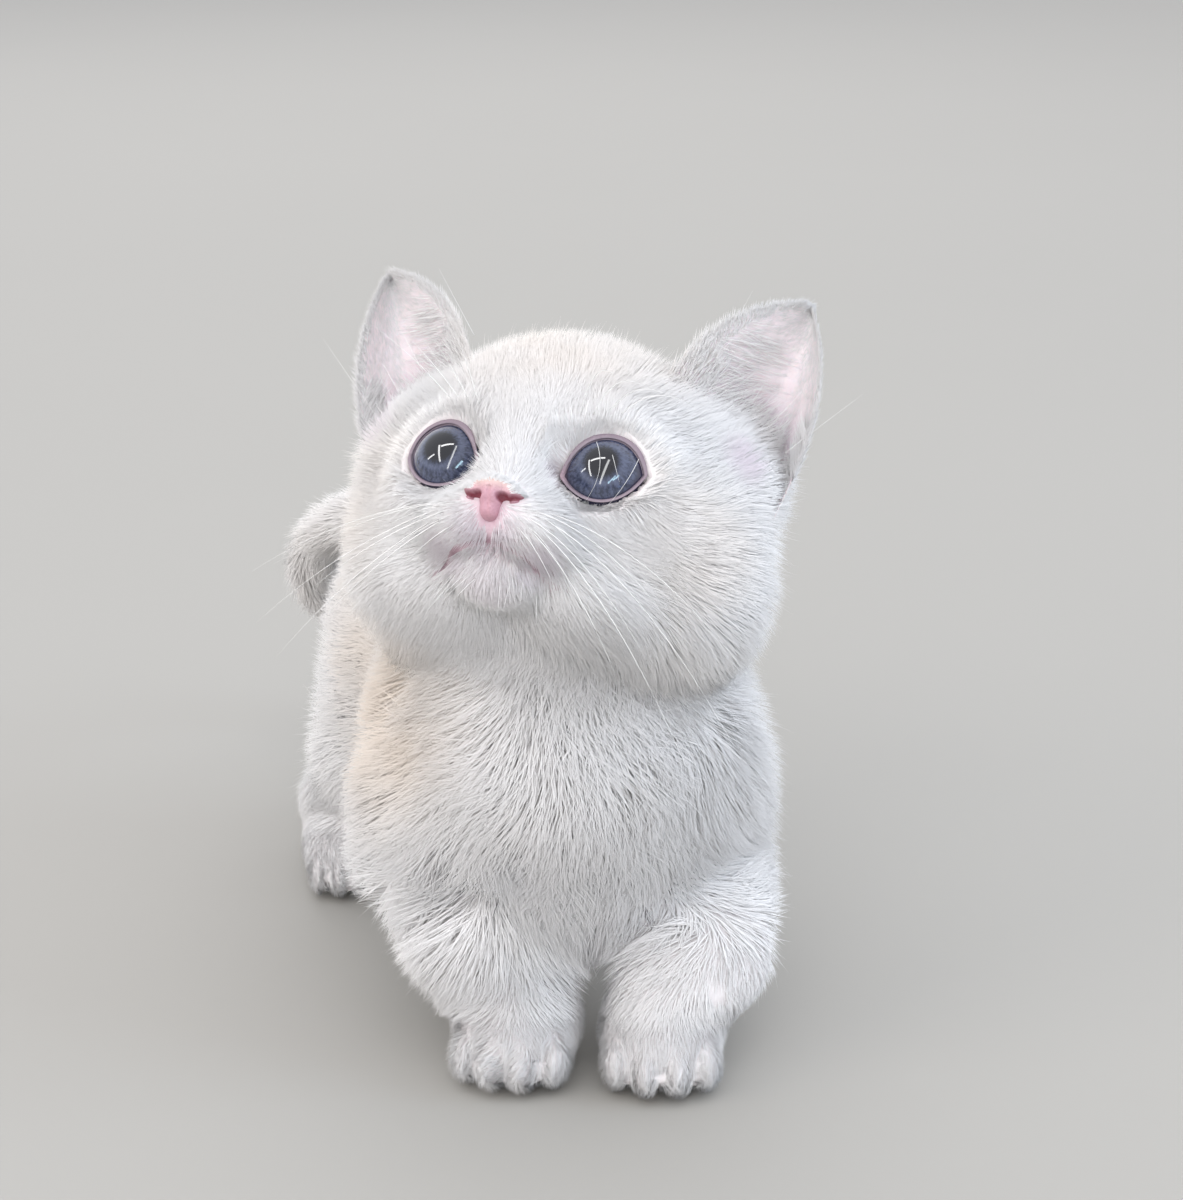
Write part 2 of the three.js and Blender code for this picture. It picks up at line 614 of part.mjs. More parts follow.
// An ear is a cupped sheet between two edges that meet at the tip. Its front and back are split alike.
function earGeometry(sign) {
  const { medial, lateral, tip, cup, thickness } = EAR;
  const inner = new THREE.QuadraticBezierCurve3(at(medial), at(EAR.medialBend), at(tip));
  const outer = new THREE.QuadraticBezierCurve3(at(lateral), at(EAR.lateralBend), at(tip));
  const columns = 9;
  const rows = 9;
  const root = -0.34;
  const edgePoint = (edge, v) => {
    if (v >= 0) return edge.getPoint(v);
    return edge.getPoint(0).addScaledVector(edge.getTangent(0), v * 26);
  };
  const sheet = (u, v, behind) => {
    const point = edgePoint(inner, v).lerp(edgePoint(outer, v), u);
    const bow = Math.sin(Math.PI * u) * cup * Math.pow(1 - Math.max(0, v), 0.7);
    const wall = thickness * (0.45 + 0.55 * Math.sin(Math.PI * u)) * (1 - 0.45 * Math.max(0, v));
    const back = bow + (behind ? wall : 0);
    point.y += back;
    point.x += 0.12 * back;
    point.z -= 0.1 * back;
    return vec(sign * point.x, point.y, point.z);
  };
  const ring = (v) => {
    const front = Array.from({ length: columns + 1 }, (_, i) => sheet(i / columns, v, false));
    const back = Array.from({ length: columns + 1 }, (_, i) => sheet(1 - i / columns, v, true));
    return [...front, ...back];
  };
  const stations = Array.from({ length: rows }, (_, i) => lerp(root, 0.97, Math.pow(i / (rows - 1), 0.9)));
  const rings = stations.map(ring);
  const first = rings[0].reduce((sum, p) => sum.add(p), vec()).divideScalar(rings[0].length);
  const last = sheet(0.5, 1, false).lerp(sheet(0.5, 1, true), 0.5);
  return closedBody(first, rings, last);
}

function earSolid(sign) {
  const grown = (x, y, z) => kittenFromHead(x, y, z) - GAP;
  const clearance = toSolid(skin(limitedTo(grown, neckCuts), headSpine, HEAD_DETAIL));
  return toSolid(earGeometry(sign)).subtract(clearance);
}

function headParts() {
  const head = new THREE.Group();
  head.applyMatrix4(headPose);
  head.add(part("head", headSolid(), finishes.coat));
  const noseHoles = nostril(1).add(nostril(-1));
  head.add(part("nose", toSolid(noseSkin(0)).subtract(noseHoles), finishes.nose));
  for (const { name, sign } of SIDES) {
    head.add(part(`ear_${name}`, earSolid(sign), finishes.cream));
    head.add(part(`eye_${name}`, toSolid(ballAt(eyeCentre(sign), EYE.radius, 22, 14)), finishes.eye));
  }
  return head;
}

// The trunk's parts

const line = (from, to) => new THREE.LineCurve3(from, to);

function trunkSection(name, spine, faces, detail, finish, withoutLegs = []) {
  const mass = withoutLegs.reduce(clearOf, limitedTo(kitten, faces));
  const whole = toSolid(skin(mass, spine, detail));
  const solid = withoutLegs.reduce((left, cut) => left.subtract(spaceBehind(cut)), cutBehind(whole, faces));
  return part(name, solid, finish);
}

function trunkParts() {
  const trunk = new THREE.Group();
  const foreLegs = SIDES.map(({ sign }) => foreLegCuts(sign));
  const hindLegs = SIDES.map(({ sign }) => hindLegCuts(sign));
  const neckSpine = line(vec(0, -23, 60), vec(-1, -34, 96));
  const neckFaces = [flipped(cuts.head), cuts.neck, cuts.chest];
  const neckDetail = { sectors: 40, frontRings: 1, sideRings: 8, backRings: 1 };
  trunk.add(trunkSection("neck", neckSpine, neckFaces, neckDetail, finishes.coat));
  const chestSpine = line(vec(0, -34, 54), vec(0, 13, 56));
  const chestFaces = [flipped(cuts.head), flipped(cuts.neck), cuts.chest];
  const chestDetail = { sectors: 40, frontRings: 7, sideRings: 8, backRings: 1 };
  trunk.add(trunkSection("chest", chestSpine, chestFaces, chestDetail, finishes.coat, foreLegs));
  const bellySpine = line(vec(0, 3, 56), vec(0, 38, 56));
  const bellyFaces = [flipped(cuts.head), flipped(cuts.chest), cuts.belly];
  const bellyDetail = { sectors: 32, frontRings: 1, sideRings: 6, backRings: 1 };
  trunk.add(trunkSection("belly", bellySpine, bellyFaces, bellyDetail, finishes.cream));
  const rumpSpine = line(vec(0, 28, 57), vec(0, 60, 57));
  const rumpFaces = [flipped(cuts.belly), cuts.rump];
  const rumpDetail = { sectors: 32, frontRings: 1, sideRings: 6, backRings: 8 };
  trunk.add(trunkSection("rump", rumpSpine, rumpFaces, rumpDetail, finishes.cream, hindLegs));
  return trunk;
}

// The tail's three lengths

function tailStretch(from, to) {
  const points = Array.from({ length: 7 }, (_, i) => tailPath.getPointAt(lerp(from, to, i / 6)));
  return new THREE.CatmullRomCurve3(points);
}

function tailParts() {
  const tail = new THREE.Group();
  const lengths = [
    { name: "tail_base", from: 0.16, to: 0.44, faces: [flipped(cuts.rump), cuts.tailBase] },
    { name: "tail_middle", from: 0.4, to: 0.72, faces: [flipped(cuts.tailBase), cuts.tailMiddle] },
    { name: "tail_tip", from: 0.68, to: 0.97, faces: [flipped(cuts.tailMiddle)] },
  ];
  for (const { name, from, to, faces } of lengths) {
    const detail = { sectors: 14, frontRings: 3, sideRings: 6, backRings: 4 };
    tail.add(trunkSection(name, tailStretch(from, to), faces, detail, finishes.cream));
  }
  return tail;
}

// The legs and paws

function legParts() {
  const legs = new THREE.Group();
  for (const { name, sign } of SIDES) {
    const place = (x, y, z) => vec(sign * x, y, z);
    const mirrored = (cut) => ({
      point: cut.point.clone().multiply(vec(sign, 1, 1)),
      normal: cut.normal.clone().multiply(vec(sign, 1, 1)),
    });
    const wrist = movedBy(mirrored(cuts.wrist), stanceAt(cuts.wrist.point.z));
    const ankle = mirrored(cuts.ankle);
    const foreCuts = foreLegCuts(sign);
    const hindCuts = hindLegCuts(sign);
    const armLine = [place(14.5, -43, 16), place(23, -34, 24), place(29, -25, 36)];
    const arm = new THREE.CatmullRomCurve3(armLine.map(inStance));
    const limbDetail = { sectors: 22, frontRings: 4, sideRings: 4, backRings: 4 };
    const pawDetail = { sectors: 28, frontRings: 6, sideRings: 3, backRings: 4 };
    const leg = (label, spine, faces, detail) =>
      trunkSection(`${label}_${name}`, spine, faces, detail, finishes.coat);
    legs.add(leg("foreleg", arm, [...foreCuts, wrist], limbDetail));
    const pawSpine = line(inStance(place(13.6, -52, 7.5)), inStance(place(13.4, -41, 8)));
    const betweenPaws = movedBy(face(vec(), vec(-sign, 0, 0)), stanceAt(0));
    const pawCuts = [betweenPaws, flipped(wrist), floor];
    legs.add(leg("forepaw", pawSpine, pawCuts, pawDetail));
    const haunch = line(place(23, 46, 30), place(25, 58, 22));
    legs.add(leg("thigh", haunch, [...hindCuts, ankle], limbDetail));
    const footSpine = line(place(28.6, 45, 7.5), place(26.5, 64, 8));
    legs.add(leg("hindfoot", footSpine, [hindCuts[2], flipped(ankle), floor], pawDetail));
  }
  return legs;
}

const group = new THREE.Group();
group.add(headParts(), trunkParts(), tailParts(), legParts());

// The origin is on the floor, below the middle of the whole model
group.updateMatrixWorld(true);
const size = new THREE.Box3().setFromObject(group, true);
const centre = size.getCenter(vec());
group.position.set(-centre.x, -centre.y, -size.min.z);

export default group;
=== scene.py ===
"""A munchkin kitten on four short legs, head turned and lifted, as a life-size model on a pale floor.

Shapes are worked out in millimetres in the body's own frame, which faces -Y with the kitten's left at +X.
The head has a frame of its own, where the face looks along -Y. A mesh is shifted to the frame and put into
metres as it is made. The skin lies under the coat's outer surface by the depth of the coat, and the tufts
stand on it and lean along the lie of the fur until their tips reach that surface.
"""

import bmesh
import bpy
import numpy as np
from mathutils import Matrix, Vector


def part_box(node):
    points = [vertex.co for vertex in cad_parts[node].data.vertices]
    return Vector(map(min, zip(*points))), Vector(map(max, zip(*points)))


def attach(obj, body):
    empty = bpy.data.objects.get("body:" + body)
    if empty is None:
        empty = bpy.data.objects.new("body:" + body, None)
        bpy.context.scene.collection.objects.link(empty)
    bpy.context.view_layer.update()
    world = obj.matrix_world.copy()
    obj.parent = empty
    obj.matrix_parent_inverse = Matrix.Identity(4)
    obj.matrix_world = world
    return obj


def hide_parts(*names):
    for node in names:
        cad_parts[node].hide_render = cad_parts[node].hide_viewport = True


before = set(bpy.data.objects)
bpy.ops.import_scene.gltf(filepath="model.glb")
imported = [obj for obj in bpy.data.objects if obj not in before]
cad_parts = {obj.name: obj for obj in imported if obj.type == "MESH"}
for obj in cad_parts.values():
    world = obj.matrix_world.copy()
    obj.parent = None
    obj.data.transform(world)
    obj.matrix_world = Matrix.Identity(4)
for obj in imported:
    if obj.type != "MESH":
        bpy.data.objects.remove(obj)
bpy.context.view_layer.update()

MM = 0.001
QUICK = 1.0

# The trunk's masses: centre and how far each reaches, as in the solids
CHEST = ((0, -23, 57), (37, 38, 36))
SHOULDER = ((23, -22, 48), (18, 25, 24))
BIB = ((0, -42, 64), (27, 19, 21))
APRON = ((0, -39, 38), (22, 16, 19))
BELLY = ((0, 18, 56), (30.5, 54, 34))
RUMP = ((0, 50, 57), (28, 35, 35))
THIGH = ((19, 47, 38), (14, 24, 27))

# Where the coat is fluffed out of the solids' surface or lies flat under it: place, width and height
FLUFF = (((-27, -52, 30), 16, 4.5), ((-30, -40, 44), 14, 1.5), ((38, -34, 32), 16, -3.5))

# The legs' joints and paws
STANCE = {"y": -46, "turn": -22, "shift": (-3.4, -4), "top": 36, "bottom": 14}
UPPER_ARM = (29, -23, 46)
ELBOW = (31, -26, 33)
FOREARM = (20, -37, 24)
WRIST = (14, -44, 14)
KNEE = (23, 47, 32)
HOCK = (26, 66, 14)
FORE_PAW = {"centre": (13.4, -46, 7.5), "half": (12.6, 15), "height": 15, "toe_out": 4}
HIND_PAW = {"centre": (28.5, 51, 7), "half": (9.5, 13), "height": 14, "toe_out": 8}

# The tail's line from the rump and its thickness at each end
TAIL_LINE = (
    (0, 72, 68), (-1, 90, 69), (-8, 107, 65), (-17, 121, 56), (-17, 132, 43), (-7, 139, 31), (6, 140, 24),
)
TAIL_RADIUS = (10, 6.5)

# The head: where it sits and how it is turned, lifted and tilted, in degrees, and its own sizes
HEAD_PLACE = np.array((-6.6, -36.4, 102.4))
HEAD_TURN = {"turn": -34.7, "lift": -36.9, "tilt": 0.6}
SKULL = ((0, 4, 6.75), (35, 32, 32.75))
RUFF = ((24, 2, -8), (18, 21, 19))
RUFF_SWAY = (2.5, 0, 0)
TEMPLE = ((29, 4, 9), (13, 15, 14))
EAR_ROOT = ((28, 12, 21), (13, 12, 14))
EYE = {"place": (14, -17.4, 3.6), "radius": 8.3, "out": 10, "up": 3}
EYE_OPENING = (13.6, 10.8)
LID_THICKNESS = 1.3
NOSE = {"y": -37.6, "z": -6.7, "width": 10.6}
MOUTH = {"top": -10, "fork": -13.6, "corner": (11, -17.8)}
EAR = {"medial": (21.6, -9, 33), "lateral": (42, 3, 16.5), "tip": (41.3, -4, 46.8), "cup": 12, "wall": 2.6}
EAR_HOLLOW = np.array((37.0, -7.5, 15.5))
EAR_HOLLOW_DEPTH = 4.0
EAR_INNER_BEND = (29, -8, 45)
EAR_OUTER_BEND = (47.5, -1, 33)
WHISKERS = {"rows": 3, "columns": 3, "x": 5.4, "z": -8.8, "column_step": 2.6, "row_step": 1.8}
WHISKER_LENGTH = (12, 38)
WHISKER_SAG = {"left": 20, "right": 9}
# Brow hairs that hang in front of the left eye: root, run and bend in the head's frame
EYE_HAIRS = {
    "left": (
        ((14.0, -27.3, 7.5), (7.5, -2.3, -12.6), (-9.1, 5.5, 1.2)),
        ((17.2, -26.9, 5.5), (2.4, -0.3, -5.1), (-0.6, 1.8, 0.6)),
        ((21.4, -24.8, 6.0), (-1.4, -4.7, -14.0), (-4.5, 6.3, 3.3)),
    ),
    "right": (),
}
SIDES = (("left", 1), ("right", -1))

# How the coat grows on each part of the kitten
PARTS = ("face", "head", "chest", "trunk", "leg", "paw", "tail")
TUFTS_TO_SQUARE_MM = dict(zip(PARTS, (11.0, 3.9, 3.4, 1.6, 3.3, 6.0, 2.9)))
WISPS_TO_SQUARE_MM = dict(zip(PARTS, (0.10, 0.34, 0.20, 0.12, 0.10, 0.0, 0.22)))
STRAY_ANGLE = dict(zip(PARTS, (0.12, 0.2, 0.34, 0.24, 0.2, 0.12, 0.2)))
SWIRL_ANGLE = dict(zip(PARTS, (0.10, 0.16, 0.5, 0.3, 0.2, 0.1, 0.22)))
LIFT_DEGREES = dict(zip(PARTS, (17, 18, 22, 21, 16, 12, 20)))
DROOP = dict(zip(PARTS, (0.04, 0.06, 0.12, 0.10, 0.06, 0.04, 0.10)))
LONGEST = dict(zip(PARTS, (5.0, 9.0, 11.5, 12.0, 8.0, 3.3, 9.0)))

# The coat's colours, the bare skin's and the floor's
WHITE = (0.92, 0.905, 0.91)
CREAM = (0.86, 0.69, 0.53)
# Lilac: skin showing through, and painted shade in the hollows at the ears' roots
LILAC = (0.70, 0.58, 0.68)
# The tufts' roots: warmer and a little darker, partly the skin's warmth showing through and partly painted
# shade deep in the coat
COAT_ROOT = (0.87, 0.80, 0.78)
# The skin's greyish pink under the coat: partly its own colour, partly painted shade
SKIN_TINT_AND_PAINTED_SHADE = (0.66, 0.57, 0.58)
ROSY_SKIN = (0.66, 0.47, 0.54)
LIP_LINE = (0.36, 0.20, 0.25)
FLOOR_GREY = (0.40, 0.385, 0.36)


# Small tools for whole arrays

def unit(v):
    """Each vector divided by its length."""
    return v / np.maximum(np.linalg.norm(v, axis=-1, keepdims=True), 1e-9)


def ramp(x, low, high):
    """A smooth rise from 0 at low to 1 at high."""
    t = np.clip((x - low) / (high - low), 0, 1)
    return t * t * (3 - 2 * t)


def mix(a, b, t):
    """From a at t 0 to b at t 1 along a straight line."""
    return a + (b - a) * t


def bell(x, width):
    """One at x 0, falling smoothly on both sides: e to the power of minus the square of x over the width."""
    return np.exp(-((x / width) ** 2))


def rotation(axis, degrees):
    """The matrix that turns a column vector about one axis."""
    c, s = np.cos(np.radians(degrees)), np.sin(np.radians(degrees))
    i, j = [(1, 2), (2, 0), (0, 1)][axis]
    m = np.eye(3)
    m[i, i], m[i, j], m[j, i], m[j, j] = c, -s, s, c
    return m


def waves(p, size, seed, count=9):
    """A smooth drift of about -1 to 1: the sum of sine waves about one size long, in random directions."""
    rng = np.random.default_rng(seed)
    k = unit(rng.normal(size=(count, 3))) * (2 * np.pi / size) * rng.uniform(0.6, 1.5, (count, 1))
    return np.sin(p @ k.T + rng.uniform(0, 2 * np.pi, count)).sum(1) * 1.4 / np.sqrt(count)


def lattice_seed(p, size, seed):
    """The nearest of the points scattered one to each cube of a lattice. The 27 cubes around are tried."""
    home = np.floor(p / size).astype(np.int64)
    best = np.full(len(p), np.inf)
    chosen = np.zeros_like(p)
    for step in np.ndindex(3, 3, 3):
        cube = home + np.array(step) - 1
        mixed = (cube[:, 0] * 73856093) ^ (cube[:, 1] * 19349663) ^ (cube[:, 2] * 83492791)
        mixed = mixed ^ (seed * 2654435761)
        jitter = np.stack([((mixed * m) >> 7) & 1023 for m in (1103515245, 22695477, 134775813)], 1) / 1023
        point = (cube + jitter) * size
        away = ((point - p) ** 2).sum(1)
        nearer = away < best
        best = np.where(nearer, away, best)
        chosen[nearer] = point[nearer]
    return chosen


def bezier(points, t):
    """A Bezier curve of any degree, by repeated mixing of neighbouring points."""
    layer = [np.asarray(q, float) for q in points]
    while len(layer) > 1:
        layer = [mix(a, b, t[:, None]) for a, b in zip(layer, layer[1:])]
    return layer[0]


def smooth_line(points, count):
    """A centripetal Catmull-Rom curve through the points, at even steps along its length."""
    p = np.asarray(points, float)
    p = np.vstack([2 * p[0] - p[1], p, 2 * p[-1] - p[-2]])
    dense = []
    for p0, p1, p2, p3 in zip(p, p[1:], p[2:], p[3:]):
        k = np.cumsum([0] + [np.linalg.norm(b - a) ** 0.5 for a, b in ((p0, p1), (p1, p2), (p2, p3))])
        t = np.linspace(k[1], k[2], 40)[:, None]
        a1 = mix(p0, p1, (t - k[0]) / (k[1] - k[0]))
        a2 = mix(p1, p2, (t - k[1]) / (k[2] - k[1]))
        a3 = mix(p2, p3, (t - k[2]) / (k[3] - k[2]))
        b1 = mix(a1, a2, (t - k[0]) / (k[2] - k[0]))
        b2 = mix(a2, a3, (t - k[1]) / (k[3] - k[1]))
        dense.append(mix(b1, b2, (t - k[1]) / (k[2] - k[1])))
    line = np.vstack(dense)
    run = np.concatenate([[0], np.cumsum(np.linalg.norm(np.diff(line, axis=0), axis=1))])
    even = np.linspace(0, run[-1], count)
    return np.stack([np.interp(even, run, line[:, i]) for i in range(3)], 1)


# The head's frame within the body's

HEAD_AXES = (
    rotation(2, HEAD_TURN["turn"]) @ rotation(0, HEAD_TURN["lift"]) @ rotation(1, HEAD_TURN["tilt"])
)


def from_head(p):
    """Points of the head's frame, in the body's."""
    return np.asarray(p, float) @ HEAD_AXES.T + HEAD_PLACE


def to_head(p):
    """Points of the body's frame, in the head's."""
    return (p - HEAD_PLACE) @ HEAD_AXES


def eye_centre(sign):
    return np.array(EYE["place"]) * (sign, 1, 1)


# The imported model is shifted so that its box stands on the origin: the left eye tells by how much
eye_box = np.array(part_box("eye_left")) / MM
SHIFT = eye_box.mean(0) - from_head(eye_centre(1))


# Masses: each is negative inside, and grows by about a millimetre for each millimetre outwards

def ellipsoid(p, mass):
    centre, radii = mass
    u = (p - np.array(centre, float)) / np.array(radii, float)
    near = np.sqrt((u * u).sum(1))
    steep = np.sqrt(((u / np.array(radii, float)) ** 2).sum(1))
    return near * (near - 1) / np.maximum(steep, 1e-9)


def limb(p, a, b, ra, rb):
    """The distance from the line between two points, less a radius that runs from ra to rb."""
    a, along = np.array(a, float), np.subtract(b, a)
    t = np.clip((p - a) @ along / (along @ along), 0, 1)
    return np.linalg.norm(p - a - t[:, None] * along, axis=1) - mix(ra, rb, t)


def join(a, b, softness):
    """The nearer of two masses, with a fillet about as wide as the softness."""
    h = np.maximum(softness - np.abs(a - b), 0) / softness
    return np.minimum(a, b) - h * h * softness / 4


def join_all(softness, *masses):
    whole = masses[0]
    for mass in masses[1:]:
        whole = join(whole, mass, softness)
    return whole


def folded(p):
    """Both sides of the body laid on its left side."""
    return np.abs(p * (1, 0, 0)) + p * (0, 1, 1)


def head_mass(h):
    """Skull and cheeks, then the muzzle, then the lids, in the head's frame."""
    m = folded(h)
    ruff = ellipsoid(folded(h - RUFF_SWAY), RUFF)
    cheeks = join_all(6, ruff, ellipsoid(m, TEMPLE), ellipsoid(m, EAR_ROOT))
    jaw = ellipsoid(m, ((12, -12, -16), (14, 14, 10)))
    under_eye = ellipsoid(m, ((14, -17, -6), (12, 10, 9)))
    bridge = limb(h, (0, -19, 8), (0, -28.8, -6), 8.5, 6.2)
    pad = ellipsoid(m, ((6.2, -27.6, -10.8), (8.2, 8.4, 6.6)))
    chin = ellipsoid(h, ((0, -23.2, -17.6), (9.5, 7.4, 6.2)))
    muzzle = join(join_all(5, jaw, under_eye, bridge, pad), chin, 1.5)
    lids = ellipsoid(m, (EYE["place"], (EYE["radius"] + LID_THICKNESS,) * 3))
    return join(join(join(ellipsoid(h, SKULL), cheeks, 12), muzzle, 7), lids, 3)


def paw_mass(m, paw):
    """A round pad with four toes fanned across its front edge."""
    w, l = paw["half"]
    height = paw["height"]
    q = (m - paw["centre"]) @ rotation(2, paw["toe_out"])
    parts = [ellipsoid(q, ((0, 0, 0.3), (w, l, height * 0.56)))]
    for across in (-0.66, -0.23, 0.23, 0.66):
        forward = -l * (0.6 if abs(across) > 0.5 else 0.78)
        toe = ((across * w, forward, -height * 0.14), (w * 0.3, l * 0.42, height * 0.36))
        parts.append(ellipsoid(q, toe))
    return join_all(1.4, *parts)


def out_of_stance(p):
    """The forelegs are modelled square to the body, then twisted about an upright line between them, by more
    and more on the way down. This undoes the twist."""
    share = (1 - ramp(p[:, 2], STANCE["bottom"], STANCE["top"]))[:, None]
    angle = np.radians(STANCE["turn"]) * share[:, 0]
    d = p[:, :2] - share * np.array(STANCE["shift"]) - (0, STANCE["y"])
    x = d[:, 0] * np.cos(angle) + d[:, 1] * np.sin(angle)
    y = d[:, 1] * np.cos(angle) - d[:, 0] * np.sin(angle) + STANCE["y"]
    return np.stack([x, y, p[:, 2]], 1)


def legs_mass(p):
    m = folded(out_of_stance(p))
    upper = limb(m, UPPER_ARM, ELBOW, 13, 12)
    arm = join_all(6, upper, limb(m, ELBOW, FOREARM, 12, 16), limb(m, FOREARM, WRIST, 16, 11))
    fore = join(arm, paw_mass(m, FORE_PAW), 4)
    m = folded(p)
    foot = limb(m, HOCK, HIND_PAW["centre"], 8.5, HIND_PAW["height"] / 2)
    shank = join(limb(m, KNEE, HOCK, 14, 8.5), foot, 6)
    hind = join(shank, paw_mass(m, HIND_PAW), 4)
    return np.minimum(fore, hind)


def trunk_mass(p):
    m = folded(p)
    front = join_all(12, ellipsoid(p, CHEST), ellipsoid(m, SHOULDER), ellipsoid(p, BIB), ellipsoid(p, APRON))
    back = join_all(14, ellipsoid(p, BELLY), ellipsoid(p, RUMP), ellipsoid(m, THIGH))
    return join(front, back, 16)


TAIL_POINTS = smooth_line(TAIL_LINE, 13)


def tail_mass(p):
    radii = np.linspace(*TAIL_RADIUS, len(TAIL_POINTS))
    links = zip(TAIL_POINTS, TAIL_POINTS[1:], radii, radii[1:])
    return np.min([limb(p, a, b, ra, rb) for a, b, ra, rb in links], axis=0)


def nape_mass(p):
    return limb(p, (0, -14, 70), from_head((0, 12, -4)), 30, 29)


def kitten_mass(p):
    """The whole kitten out to the tips of its coat."""
    body = join(join(trunk_mass(p), legs_mass(p), 9), tail_mass(p), 8)
    return join(join(body, nape_mass(p), 12), head_mass(to_head(p)), 5)


def slope(field, p, step=0.05):
    """The field's value and its rate of change along each axis, from one small step each way."""
    here = field(p)
    rates = [(field(p + step * axis) - here) / step for axis in np.eye(3)]
    return here, np.stack(rates, 1)


# How deep the coat is, and which way it lies

def shares(p):
    """How much each place belongs to the head, the tail, the legs and paws, and the chest, from 0 to 1."""
    head = head_mass(to_head(p))
    rest = np.minimum(nape_mass(p), trunk_mass(p))
    tail = ramp(rest - tail_mass(p), -3, 7) * ramp(p[:, 1], 78, 92)
    low = 1 - ramp(p[:, 2], 14, 38)
    chest = (1 - ramp(p[:, 1], -38, -4)) * ramp(p[:, 2], 22, 44)
    return {"head": 1 - ramp(head - rest, -4, 5), "tail": tail, "leg": low * (1 - tail), "chest": chest}


def eye_distance(h):
    """How far a place of the head's frame is from the middle of the nearer eye."""
    return np.linalg.norm(folded(h) - EYE["place"], axis=1)


def coat_depth(p):
    """Thin over nose, lids and feet, and deepest on the cheeks and chest."""
    part = shares(p)
    h = to_head(p)
    from_face = np.linalg.norm(h - (0, -29, -4), axis=1)
    ruff = bell(np.linalg.norm(folded(h) - (36, 2, -14), axis=1), 16)
    on_head = 0.9 + 4.3 * ramp(from_face, 9, 48) + 2.4 * ruff
    on_head = on_head * mix(0.35, 1, ramp(eye_distance(h), 9.4, 17))
    on_head = on_head * mix(0.4, 1, ramp(np.linalg.norm(folded(h) - EAR_HOLLOW, axis=1), 4, 9))
    on_body = 6.6 + 1.6 * part["chest"]
    on_body = mix(on_body, 1.5 + 3.6 * ramp(p[:, 2], 11, 36), part["leg"])
    on_body = mix(on_body, 4.2, part["tail"])
    return mix(on_body, on_head, part["head"])


def lie_of_coat(p, normal):
    """Back from the nose over the head, down the chest, tailwards along the trunk, down the legs, forward on
    the paws and along the tail, each weighed by its share and laid in the surface."""
    part = shares(p)
    h = to_head(p)
    outward = np.sign(p[:, 0])[:, None] * np.array((1.0, 0, 0))
    flow = np.array((0, 1.0, -0.3)) + 0.12 * outward * (p[:, 2:] > 45)
    down_chest = np.array((0, 0.12, -1.0)) + 0.25 * outward * np.minimum(np.abs(p[:, :1]) / 25, 1)
    flow = mix(flow, down_chest, part["chest"][:, None])
    flow = mix(flow, np.array((0, 0.1, -1.0)), part["leg"][:, None])
    paw = (1 - ramp(p[:, 2], 9, 17))[:, None]
    toes = mix(np.array((0, -1.0, -0.45)), np.array((-0.37, -0.93, -0.45)), (p[:, 1:2] < 0) * 1.0)
    flow = mix(flow, toes, paw * part["leg"][:, None])
    links = unit(np.gradient(TAIL_POINTS, axis=0))
    nearest = np.argmin(((p[:, None] - TAIL_POINTS[None]) ** 2).sum(2), axis=1)
    flow = mix(unit(flow), links[nearest] + (0, 0, -0.2), part["tail"][:, None])
    m = folded(h)
    from_nose = unit(h - (0, NOSE["y"] + 2, NOSE["z"] + 1))
    round_eye = unit(m - EYE["place"]) * np.where(h[:, :1] < 0, (-1.0, 1, 1), (1.0, 1, 1))
    near_eye = 1 - ramp(eye_distance(h), 11, 16)
    from_nose = from_nose + 2.0 * near_eye[:, None] * round_eye
    sag = ramp(h[:, 1], -24, 5) * (1 - ramp(h[:, 2], 0, 22))
    from_nose = from_nose + sag[:, None] * np.array((0, 0.1, -0.5))
    flow = mix(unit(flow), unit(from_nose) @ HEAD_AXES.T, part["head"][:, None])
    swirl = 0.22 * waves(p, 30, 11) + 0.12 * waves(p, 11, 12)
    flow = flow + swirl[:, None] * np.cross(normal, unit(flow))
    return unit(flow - (flow * normal).sum(1, keepdims=True) * normal)


# Meshes

def make_mesh(name, points, *faces):
    """A mesh from points in millimetres and arrays of faces, each array with its own number of corners."""
    mesh = bpy.data.meshes.new(name)
    mesh.vertices.add(len(points))
    mesh.vertices.foreach_set("co", ((points + SHIFT) * MM).astype(np.float32).ravel())
    corners = np.concatenate([f.ravel() for f in faces]).astype(np.int32)
    sizes = np.concatenate([np.full(len(f), f.shape[1]) for f in faces])
    mesh.loops.add(len(corners))
    mesh.loops.foreach_set("vertex_index", corners)
    mesh.polygons.add(len(sizes))
    mesh.polygons.foreach_set("loop_start", np.concatenate([[0], np.cumsum(sizes)[:-1]]).astype(np.int32))
    mesh.polygons.foreach_set("use_smooth", np.ones(len(sizes), bool))
    mesh.update(calc_edges=True)
    return mesh


def add_values(mesh, **values):
    """Named numbers, one for each vertex, for the materials to read."""
    for name, numbers in values.items():
        layer = mesh.attributes.new(name, "FLOAT", "POINT")
        layer.data.foreach_set("value", np.asarray(numbers, np.float32))


def add_bake_map(mesh, uv):
    """The map that the coat's colours are kept on, from one pair of numbers for each vertex."""
    corners = np.empty(len(mesh.loops), np.int32)
    mesh.loops.foreach_get("vertex_index", corners)
    layer = mesh.uv_layers.new(name="OFBake")
    layer.data.foreach_set("uv", uv[corners].astype(np.float32).ravel())


def place_piece(name, mesh, finish, slot, *nodes):
    """A finished piece that rides with the kitten, standing for the named nodes. The slot is not used."""
    piece = bpy.data.objects.new(name, mesh)
    bpy.context.scene.collection.objects.link(piece)
    mesh.materials.append(finish)
    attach(piece, "root")
    if nodes:
        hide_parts(*nodes)
    return piece


def grid_faces(rows, columns, closed=False):
    """Quads between neighbours of a grid of points, row after row. A closed grid's columns meet."""
    i, j = np.meshgrid(np.arange(rows - 1), np.arange(columns if closed else columns - 1), indexing="ij")
    k = (j + 1) % columns
    quads = np.stack([i * columns + j, i * columns + k, (i + 1) * columns + k, (i + 1) * columns + j], -1)
    return quads.reshape(-1, 4)


